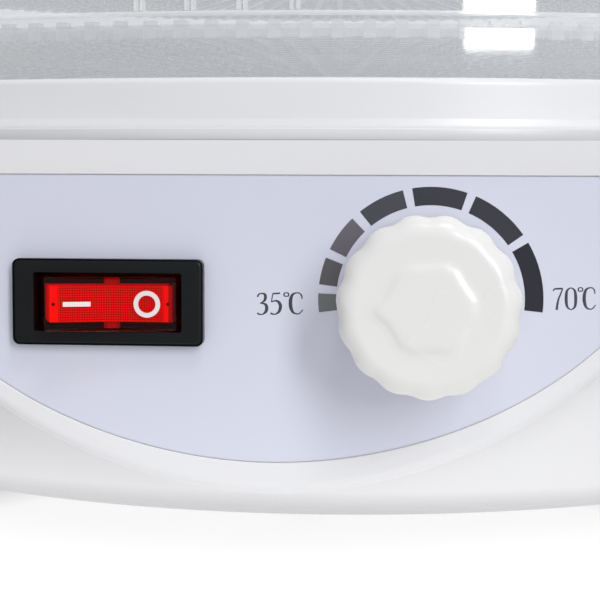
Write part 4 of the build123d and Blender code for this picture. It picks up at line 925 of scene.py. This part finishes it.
def written(name, text, x, z, stretch):
    """Letters of varying stroke drawn as curves of changing radius, pressed flat on the label."""
    deselect()
    sizes = bpy.context.scene.dehydrator_sizes
    data = bpy.data.curves.new(name, "CURVE")
    data.dimensions = "3D"
    data.bevel_depth = 1.0
    data.bevel_resolution = 2
    data.resolution_u = 8
    data.use_fill_caps = True
    width = sum(GLYPHS[c][0] for c in text)
    pen = -width / 2
    for letter in text:
        advance, strokes = GLYPHS[letter]
        for stroke in strokes:
            line = data.splines.new("NURBS")
            line.points.add(len(stroke) - 1)
            for point, (px, pz, thick) in zip(line.points, stroke):
                point.co = (pen + px, 0, pz, 1)
                point.radius = thick * sizes.letter_weight / 2
            line.order_u = 3
            line.use_endpoint_u = True
        pen += advance
    obj = bpy.data.objects.new(name, data)
    bpy.context.scene.collection.objects.link(obj)
    use(obj)
    bpy.ops.object.convert(target="MESH")
    clean(obj)
    height = size_mm("letter_height")
    obj.scale = (height * stretch, PRINT / 0.05, height)
    obj.rotation_euler = (0, -math.radians(1.5), 0)
    bpy.ops.object.transform_apply(location=False, rotation=True, scale=True)
    obj.location = (x, -LABEL_FRONT, z)
    bpy.ops.object.transform_apply(location=True, rotation=False, scale=False)
    return obj


# ---------------------------------------------------------------- switch


class DEHYDRATOR_OT_switch(bpy.types.Operator):
    """The switch's bezel with its well, and its body behind the panel"""
    bl_idname = "dehydrator.switch"
    bl_label = "Switch housing"

    def execute(self, context):
        bezel = block("switch_bezel", (SWITCH_LOW.x, SWITCH_LOW.y, SWITCH_Z - BEZEL_HALF_HEIGHT),
                      (SWITCH_HIGH.x, -LABEL_FRONT, SWITCH_Z + BEZEL_HALF_HEIGHT))
        bpy.ops.object.mode_set(mode="EDIT")
        select(bezel, "EDGE", lambda middle, edge: abs(edge.verts[0].co.y - edge.verts[1].co.y) > 1)
        bpy.ops.mesh.bevel(offset=1.1, segments=6)
        select(bezel, "FACE", lambda middle, face: face.normal.y < -0.9)
        for thickness, depth in ((0.0, 0.0), (0.12, -0.32), (0.18, 0.2), (0.18, 0.08), (0.14, 0.03)):
            bpy.ops.mesh.inset(thickness=thickness, depth=depth)
        bpy.ops.object.mode_set(mode="OBJECT")
        body = block(
            "body", (SWITCH_X - SWITCH_BODY_HALF_LENGTH, -LABEL_FRONT - 0.5, SWITCH_Z - SWITCH_BODY_HALF_HEIGHT),
            (SWITCH_X + SWITCH_BODY_HALF_LENGTH, SWITCH_HIGH.y, SWITCH_Z + SWITCH_BODY_HALF_HEIGHT))
        combine(bezel, [body], "UNION")
        well = block("well", (SWITCH_X - WELL_LENGTH / 2, SWITCH_LOW.y - 1, SWITCH_Z - WELL_HEIGHT / 2),
                     (SWITCH_X + WELL_LENGTH / 2, SWITCH_LOW.y + 9.4, SWITCH_Z + WELL_HEIGHT / 2))
        bpy.ops.object.mode_set(mode="EDIT")
        select(well, "EDGE", lambda middle, edge: abs(edge.verts[0].co.y - edge.verts[1].co.y) > 1)
        bpy.ops.mesh.bevel(offset=0.3, segments=3)
        bpy.ops.object.mode_set(mode="OBJECT")
        combine(bezel, [well], "DIFFERENCE")
        finished(bezel, "black_nylon", "base", 40, replaces=["switch_housing"])
        return {"FINISHED"}


def tilted(obj):
    """Sets a piece drawn level about the rocker's pivot at the rocker's rest angle."""
    use(obj)
    obj.rotation_euler = (0, 0, math.radians(ROCKER_TILT))
    obj.location = (SWITCH_X, -ROCKER_PIVOT, SWITCH_Z - ROCKER_DROP)
    bpy.ops.object.transform_apply(location=True, rotation=True, scale=False)
    return obj


def rocker_line(inset, sink):
    """The rocker seen from above as (x, distance in front of the pivot): two faces that meet in a shallow valley."""
    rise = math.tan(math.radians(ROCKER_TILT))
    end, tip = ROCKER_HALF - inset, ROCKER_HALF - ROCKER_SLOPE - inset
    top = ROCKER_FACE - sink
    return [(end, 0), (tip, top + tip * rise), (0, top), (-tip, top + tip * rise), (-end, 0)]


def upright(name, outline, half_height):
    """A piece from its outline seen from above, drawn up to a height each side of the pivot."""
    obj = drawn(name, [(x, -depth, -half_height) for x, depth in outline])
    bpy.ops.mesh.edge_face_add()
    bpy.ops.mesh.extrude_region_move(TRANSFORM_OT_translate={"value": (0, 0, 2 * half_height)})
    return clean(obj)


class DEHYDRATOR_OT_rocker(bpy.types.Operator):
    """The clear red rocker, its lit grid and its two marks"""
    bl_idname = "dehydrator.rocker"
    bl_label = "Rocker"

    def execute(self, context):
        rise = math.tan(math.radians(ROCKER_TILT))
        outline = rounded([(x, depth, 0.35 if k in (1, 3) else 0) for k, (x, depth) in enumerate(rocker_line(0, 0))],
                          4)
        lens = upright("rocker_lens", outline, ROCKER_HALF_HEIGHT)
        bpy.ops.object.mode_set(mode="EDIT")
        select(lens, "EDGE", lambda middle, edge: abs(abs(middle.z) - ROCKER_HALF_HEIGHT) < 0.01
               and middle.y < -ROCKER_FACE + 0.6 and len(edge.link_faces) == 2
               and min(face.normal.y for face in edge.link_faces) < -0.3)
        bpy.ops.mesh.bevel(offset=0.5, segments=4)
        bpy.ops.object.mode_set(mode="OBJECT")
        finished(tilted(lens), "rocker_lens", "rocker", 35, replaces=["switch_rocker"])

        core = upright("rocker_core", rocker_line(0.75, 0.5), CORE_HALF_HEIGHT)
        finished(tilted(core), "rocker_core", "rocker", 35)

        # Its far end is out of the lamp's reach, so a darker red is painted there as shade.
        top, tip, end, start = ROCKER_FACE - 0.45, ROCKER_HALF - ROCKER_SLOPE - 0.75, ROCKER_HALF - 0.7, 9.2
        cheek = upright("rocker_cheek", [(start, 0), (end, 0), (tip, top + tip * rise), (start, top + start * rise)],
                        CORE_HALF_HEIGHT + 0.03)
        finished(tilted(cheek), "rocker_cheek", "rocker", 35)

        # A thicker web across the middle shows as a bright bump above and below the core, and two pins at its ends.
        web_piece = rod("rocker_web", 1.3, (0, -ROCKER_FACE + 2.4, -ROCKER_HALF_HEIGHT + 0.3),
                        (0, -ROCKER_FACE + 2.4, ROCKER_HALF_HEIGHT - 0.3), 32)
        finished(tilted(web_piece), "rocker_grid", "rocker", 35)
        pins = [rod("pin", 0.28, (x, -(ROCKER_FACE - 0.4 + abs(x) * rise), 0),
                    (x, -(ROCKER_FACE - 1 + abs(x) * rise), 0), 24) for x in (-9.1, 9.1)]
        finished(tilted(join(pins)), "rocker_end", "rocker", 35)

        halves = []
        pitch, run = size_mm("grid_pitch"), GRID_HALF_LENGTH / math.cos(math.radians(ROCKER_TILT))
        cells = round(run / pitch)
        for side in (-1, 1):
            deselect()
            bpy.ops.mesh.primitive_grid_add(x_subdivisions=cells, y_subdivisions=GRID_ROWS, size=1)
            half = context.object
            half.scale = (run, GRID_ROWS * pitch, 1)
            bpy.ops.object.transform_apply(location=False, rotation=False, scale=True)
            bpy.ops.object.mode_set(mode="EDIT")
            bpy.ops.mesh.select_all(action="SELECT")
            bpy.ops.mesh.inset(thickness=size_mm("grid_bar") / 2, depth=0, use_individual=True)
            bpy.ops.mesh.delete(type="FACE")
            clean(half)
            modify(half, "SOLIDIFY", thickness=0.05, offset=0)
            half.rotation_euler = (math.pi / 2, 0, -side * math.radians(ROCKER_TILT))
            middle = GRID_HALF_LENGTH / 2
            half.location = (side * middle, -(ROCKER_FACE - 0.48 + middle * rise), 0)
            bpy.ops.object.transform_apply(location=True, rotation=True, scale=False)
            halves.append(half)
        grid = join(halves)
        grid.name = "rocker_grid"
        finished(tilted(grid), "rocker_grid", "rocker", 20)

        dash = block("mark_on", (-2.2, -MARK_DEPTH, -0.38), (2.2, 0, 0.38))
        ring = rod("mark_off", 2.15, (0, 0, 0), (0, -MARK_DEPTH, 0), 64)
        combine(ring, [rod("middle", 1.4, (0, 1, 0), (0, -1, 0), 64)], "DIFFERENCE")
        for mark, x in ((dash, MARK_ON_X), (ring, MARK_OFF_X)):
            use(mark)
            mark.rotation_euler = (0, 0, math.radians(-ROCKER_TILT if x > 0 else ROCKER_TILT))
            mark.location = (x, -(ROCKER_FACE + abs(x) * rise), 0)
            bpy.ops.object.transform_apply(location=True, rotation=True, scale=False)
            finished(tilted(mark), "white_ink", "rocker", 35)
        return {"FINISHED"}


# ---------------------------------------------------------------- knob


class DEHYDRATOR_OT_knob(bpy.types.Operator):
    """The scalloped thermostat knob with its raised hexagon and pointer"""
    bl_idname = "dehydrator.knob"
    bl_label = "Knob"

    def execute(self, context):
        sizes = context.scene.dehydrator_sizes
        taper = sizes.knob_taper
        back, face = -KNOB_HIGH.y, -KNOB_LOW.y - size_mm("plateau_rise")
        outline = [(KNOB_X + r * taper * math.cos(a), KNOB_Z + r * taper * math.sin(a))
                   for r, a in scallops(sizes.knob_lobes)]
        knob = slab("knob", outline, face - RIM_ROUND, back)
        centre = (KNOB_X, 0, KNOB_Z)
        bpy.ops.object.mode_set(mode="EDIT")
        select(knob, "FACE", lambda middle, item: item.normal.y < -0.9)
        bpy.ops.transform.resize(value=(1 / taper, 1, 1 / taper), center_override=centre)
        steps, reached = 9, 1.0
        for k in range(steps):
            start, end = (math.pi / 2 * j / steps for j in (k, k + 1))
            wanted = 1 - RIM_ROUND * (1 - math.cos(end)) / KNOB_R
            bpy.ops.mesh.extrude_region_move(TRANSFORM_OT_translate={
                "value": (0, -RIM_ROUND * (math.sin(end) - math.sin(start)), 0)})
            bpy.ops.transform.resize(value=(wanted / reached, 1, wanted / reached), center_override=centre)
            reached = wanted
            bpy.ops.transform.tosphere(value=0.15)
        bpy.ops.mesh.inset(thickness=0.1, depth=0)
        select(knob, "FACE", lambda middle, item: item.normal.y > 0.9)
        bpy.ops.mesh.inset(thickness=KNOB_WALL, depth=0)
        bpy.ops.mesh.extrude_region_move(TRANSFORM_OT_translate={"value": (0, -KNOB_HOLLOW, 0)})
        clean(knob)
        combine(knob, [plateau(face)], "UNION")
        finished(knob, "ivory_abs", "knob", 40, replaces=["thermostat_knob"])
        return {"FINISHED"}


def scallops(lobes, steps=16):
    """The knob's wavy edge as (radius, angle): round lobes with soft valleys between them."""
    points = []
    for k in range(lobes * steps):
        swell = 1 - abs(math.sin(math.pi * k / steps)) ** 2.6
        points.append((KNOB_VALLEY_R + (KNOB_R - KNOB_VALLEY_R) * swell,
                       math.radians(FIRST_LOBE) + FULL_TURN * k / steps / lobes))
    return points


def plateau(face):
    """The raised hexagon with sides that curve in and a nib on one corner, with a soft foot and a soft top."""
    outline = []
    corner, rise = size_mm("hexagon") / math.sqrt(3), size_mm("plateau_rise")
    for side in range(6):
        for k in range(12):
            share = k / 12
            a, b = (math.radians(POINTER_DEG + 60 * j) for j in (side, side + 1))
            x = corner * ((1 - share) * math.cos(a) + share * math.cos(b))
            z = corner * ((1 - share) * math.sin(a) + share * math.sin(b))
            near = min(share, 1 - share)
            pull = 1 - 0.035 * math.sin(math.pi * share)
            soften = 1 - 0.1 * (1 - min(1, 4 * near)) ** 2
            nib = 1.0
            if (side, share < 0.5) in ((0, True), (5, False)):
                nib += 0.15 * math.cos(math.pi / 2 * min(1, 3.4 * near)) ** 2
            outline.append((KNOB_X + x * pull * soften * nib, KNOB_Z + z * pull * soften * nib))
    obj = slab("plateau", outline, face + 0.02, face - 1)
    bpy.ops.object.mode_set(mode="EDIT")
    select(obj, "FACE", lambda middle, item: item.normal.y < -0.9)
    centre = (KNOB_X, 0, KNOB_Z)
    bpy.ops.transform.resize(value=(1.2, 1, 1.2), center_override=centre)
    reached, height = 1.2, 0.02
    for wanted, share in ((1.15, 0.07), (1.1, 0.13), (1.06, 0.22), (1.025, 0.35), (0.995, 0.5), (0.965, 0.65),
                          (0.93, 0.79), (0.885, 0.9), (0.83, 0.97), (0.77, 1.0)):
        level = rise * share
        bpy.ops.mesh.extrude_region_move(TRANSFORM_OT_translate={"value": (0, height - level, 0)})
        bpy.ops.transform.resize(value=(wanted / reached, 1, wanted / reached), center_override=centre)
        reached, height = wanted, level
    return clean(obj)


# ---------------------------------------------------------------- trays and lid


def web(inner, outer, cells, rings):
    """A flat ring of open cells with bars between them, as thick as a tray's floor."""
    deselect()
    bpy.ops.mesh.primitive_circle_add(vertices=cells, radius=outer)
    obj = bpy.context.object
    bpy.ops.object.mode_set(mode="EDIT")
    bpy.ops.mesh.select_mode(type="VERT")
    bpy.ops.mesh.select_all(action="SELECT")
    reached = outer
    for k in range(rings):
        wanted = outer + (inner - outer) * (k + 1) / rings
        bpy.ops.mesh.extrude_region_move()
        bpy.ops.transform.resize(value=(wanted / reached, wanted / reached, 1), center_override=(0, 0, 0))
        reached = wanted
    bpy.ops.mesh.select_mode(type="FACE")
    bpy.ops.mesh.select_all(action="SELECT")
    bpy.ops.mesh.inset(thickness=size_mm("tray_bar") / 2, depth=0, use_individual=True)
    bpy.ops.mesh.delete(type="FACE")
    clean(obj)
    return modify(obj, "SOLIDIFY", thickness=TRAY_FLOOR_TOP - TRAY_FLOOR_BOTTOM, offset=0)


class DEHYDRATOR_OT_trays(bpy.types.Operator):
    """Five clear trays, each with its webbed floor, its bead and its paired ribs"""
    bl_idname = "dehydrator.trays"
    bl_label = "Trays"

    def execute(self, context):
        sizes = context.scene.dehydrator_sizes
        inside, ledge, lip_top = TRAY_R - TRAY_WALL, TRAY_PITCH - STACKING_GAP, TRAY_PITCH + LIP_HEIGHT
        wall = turned("tray", rounded([
            (inside, 0, 0.4), (TRAY_R, 0, 0.7), (TRAY_R, 1), (TRAY_R, TRAY_STEP_Z),
            (TRAY_R - 0.45, TRAY_STEP_Z + 0.1),
            (TRAY_R, TRAY_LINE_Z), (TRAY_R, TRAY_LINE_Z + 0.3), (TRAY_R, TRAY_PITCH - 2),
            (BAND_R, TRAY_PITCH - 2, 0.7), (BAND_R, lip_top, 0.5), (BAND_R - LIP_WALL, lip_top, 0.4),
            (BAND_R - LIP_WALL, ledge, 0.3), (inside, ledge, 0.6), (inside, ledge - 1),
            (inside, TRAY_LINE_Z + 0.3), (inside, TRAY_LINE_Z), (inside - 0.45, TRAY_STEP_Z + 0.1),
            (inside, TRAY_STEP_Z), (inside, 1)], 4))
        floor_middle = (TRAY_FLOOR_TOP + TRAY_FLOOR_BOTTOM) / 2
        webs = [web(*zone) for zone in TRAY_WEBS]
        hub = turned("hub", [(TRAY_HOLE_R, -1), (TRAY_HUB_R, -1), (TRAY_HUB_R, 1), (TRAY_HOLE_R, 1)])
        floor = join([hub, *webs])
        floor.location.z = floor_middle
        bpy.ops.object.transform_apply(location=True, rotation=False, scale=False)
        rib = block("rib", (TRAY_R - 0.3, -TRAY_RIB_GAP / 2 - 0.3, TRAY_LINE_Z + 0.9),
                    (TRAY_R + 0.7, -TRAY_RIB_GAP / 2 + 0.3, TRAY_PITCH - 1.9))
        ribs = join([rib, copied(rib, "rib_two", (0, TRAY_RIB_GAP, 0))])
        ribs.rotation_euler.z = math.radians(TRAY_RIB_START)
        bpy.ops.object.transform_apply(location=False, rotation=True, scale=False)
        ringed(ribs, sizes.tray_ribs, math.radians(TRAY_RIB_STEP))
        ringed(ribs, 4, FULL_TURN / 4)
        line_top = TRAY_LINE_Z + size_mm("tray_line")
        line = turned("line", rounded([
            (TRAY_R - 0.3, TRAY_LINE_Z), (TRAY_R + 0.9, TRAY_LINE_Z, 0.3), (TRAY_R + 0.9, line_top, 0.35),
            (TRAY_R - 0.3, line_top)], 4))
        lugs = block("lug", (inside - 1.3, -1.0, TRAY_FLOOR_BOTTOM - 0.3), (inside + 0.3, 1.0, TRAY_FLOOR_TOP + 0.7))
        ringed(lugs, sizes.tray_lugs, FULL_TURN / sizes.tray_lugs)
        edging = join([line, lugs, ribs])
        for number in range(1, TRAY_COUNT + 1):
            place = (0, 0, LEDGE_Z + (number - 1) * TRAY_PITCH)
            one = copied(wall, f"clear_tray_{number}", place)
            finished(one, "clear_ps", f"tray_{number}", replaces=[f"tray_{number}"])
            one = copied(floor, f"tray_floor_{number}", place)
            finished(one, "tray_web", f"tray_{number}")
            one = copied(edging, f"tray_edging_{number}", place)
            finished(one, "tray_edge", f"tray_{number}")
        for pattern in (wall, floor, edging):
            bpy.data.objects.remove(pattern)
        return {"FINISHED"}


class DEHYDRATOR_OT_lid(bpy.types.Operator):
    """The clear lid with its vents and its hollow handle"""
    bl_idname = "dehydrator.lid"
    bl_label = "Lid"

    def execute(self, context):
        low, high = LID_LOW.z, LID_HIGH.z
        top = high - LID_HANDLE_HEIGHT
        inside, under = TRAY_R - TRAY_WALL, top - TRAY_WALL
        flange = low + 4.1
        lid = turned("clear_lid", rounded([
            (0, high), (LID_HANDLE_R, high, 3.0), (LID_HANDLE_R, top, 1.2), (TRAY_R, top, LID_ROUND),
            (TRAY_R, flange + 2), (BAND_R, flange + 2, 0.6), (BAND_R, flange, 0.6), (TRAY_R, flange),
            (TRAY_R, low, 0.6), (inside, low, 0.4), (inside, under, LID_ROUND - TRAY_WALL),
            (LID_HANDLE_R - TRAY_WALL, under, 0.5), (LID_HANDLE_R - TRAY_WALL, high - TRAY_WALL, 1.2),
            (0, high - TRAY_WALL)], 8))
        vents = []
        wide = size_mm("lid_vent")
        for inner, outer, count in LID_VENTS:
            start = inner + wide / 2
            vent = rod("vent", wide / 2, (start, 0, under - 1), (start, 0, top + 1), 16)
            bpy.ops.object.mode_set(mode="EDIT")
            select(vent, "VERT", lambda middle, item: middle.x > start + 0.01)
            bpy.ops.transform.translate(value=(outer - inner - wide, 0, 0))
            vents.append(ringed(vent, count, FULL_TURN / count))
        combine(lid, vents, "DIFFERENCE")
        finished(lid, "clear_lid", "lid", replaces=["lid"])
        return {"FINISHED"}


class DEHYDRATOR_OT_carried_parts(bpy.types.Operator):
    """Gives every CAD piece that stays the finish of its slot"""
    bl_idname = "dehydrator.carried_parts"
    bl_label = "Carried-over parts"

    def execute(self, context):
        slots = {part["node"]: part["material_slot"] for part in frame["record"]["subparts"]}
        for name, obj in frame["nodes"].items():
            obj.data.materials.clear()
            obj.data.materials.append(MATERIALS[slots[name]])
        return {"FINISHED"}


STEPS = (
    DEHYDRATOR_OT_stage, DEHYDRATOR_OT_carried_parts, DEHYDRATOR_OT_bowl, DEHYDRATOR_OT_deck, DEHYDRATOR_OT_fascia,
    DEHYDRATOR_OT_label, DEHYDRATOR_OT_dial, DEHYDRATOR_OT_switch, DEHYDRATOR_OT_rocker, DEHYDRATOR_OT_knob,
    DEHYDRATOR_OT_trays, DEHYDRATOR_OT_lid,
)


class DEHYDRATOR_PT_panel(bpy.types.Panel):
    """Lists the dehydrator's pieces in the order they are built"""
    bl_idname = "DEHYDRATOR_PT_panel"
    bl_label = "Dehydrator"
    bl_space_type = "VIEW_3D"
    bl_region_type = "UI"
    bl_category = "Dehydrator"

    def draw(self, context):
        scene = context.scene
        for group in (scene.dehydrator_sizes, scene.dehydrator_colours, scene.dehydrator_studio):
            for name in group.bl_rna.properties.keys():
                if name not in ("rna_type", "name"):
                    self.layout.prop(group, name)
        for step in STEPS:
            self.layout.operator(step.bl_idname)


CLASSES = (DehydratorColours, DehydratorSizes, DehydratorStudio, *STEPS, DEHYDRATOR_PT_panel)


def register():
    """Makes the settings, pieces and panel known to Blender."""
    for each in CLASSES:
        bpy.utils.register_class(each)
    bpy.types.Scene.dehydrator_colours = bpy.props.PointerProperty(type=DehydratorColours)
    bpy.types.Scene.dehydrator_sizes = bpy.props.PointerProperty(type=DehydratorSizes)
    bpy.types.Scene.dehydrator_studio = bpy.props.PointerProperty(type=DehydratorStudio)


def unregister():
    """Takes them away again."""
    del bpy.types.Scene.dehydrator_studio
    del bpy.types.Scene.dehydrator_sizes
    del bpy.types.Scene.dehydrator_colours
    for each in reversed(CLASSES):
        bpy.utils.unregister_class(each)


def main():
    """Builds the whole dehydrator."""
    register()
    make_materials(bpy.context.scene.dehydrator_colours)
    for step in STEPS:
        getattr(bpy.ops.dehydrator, step.bl_idname.partition(".")[2])()
    deselect()


if __name__ == "__main__":
    main()
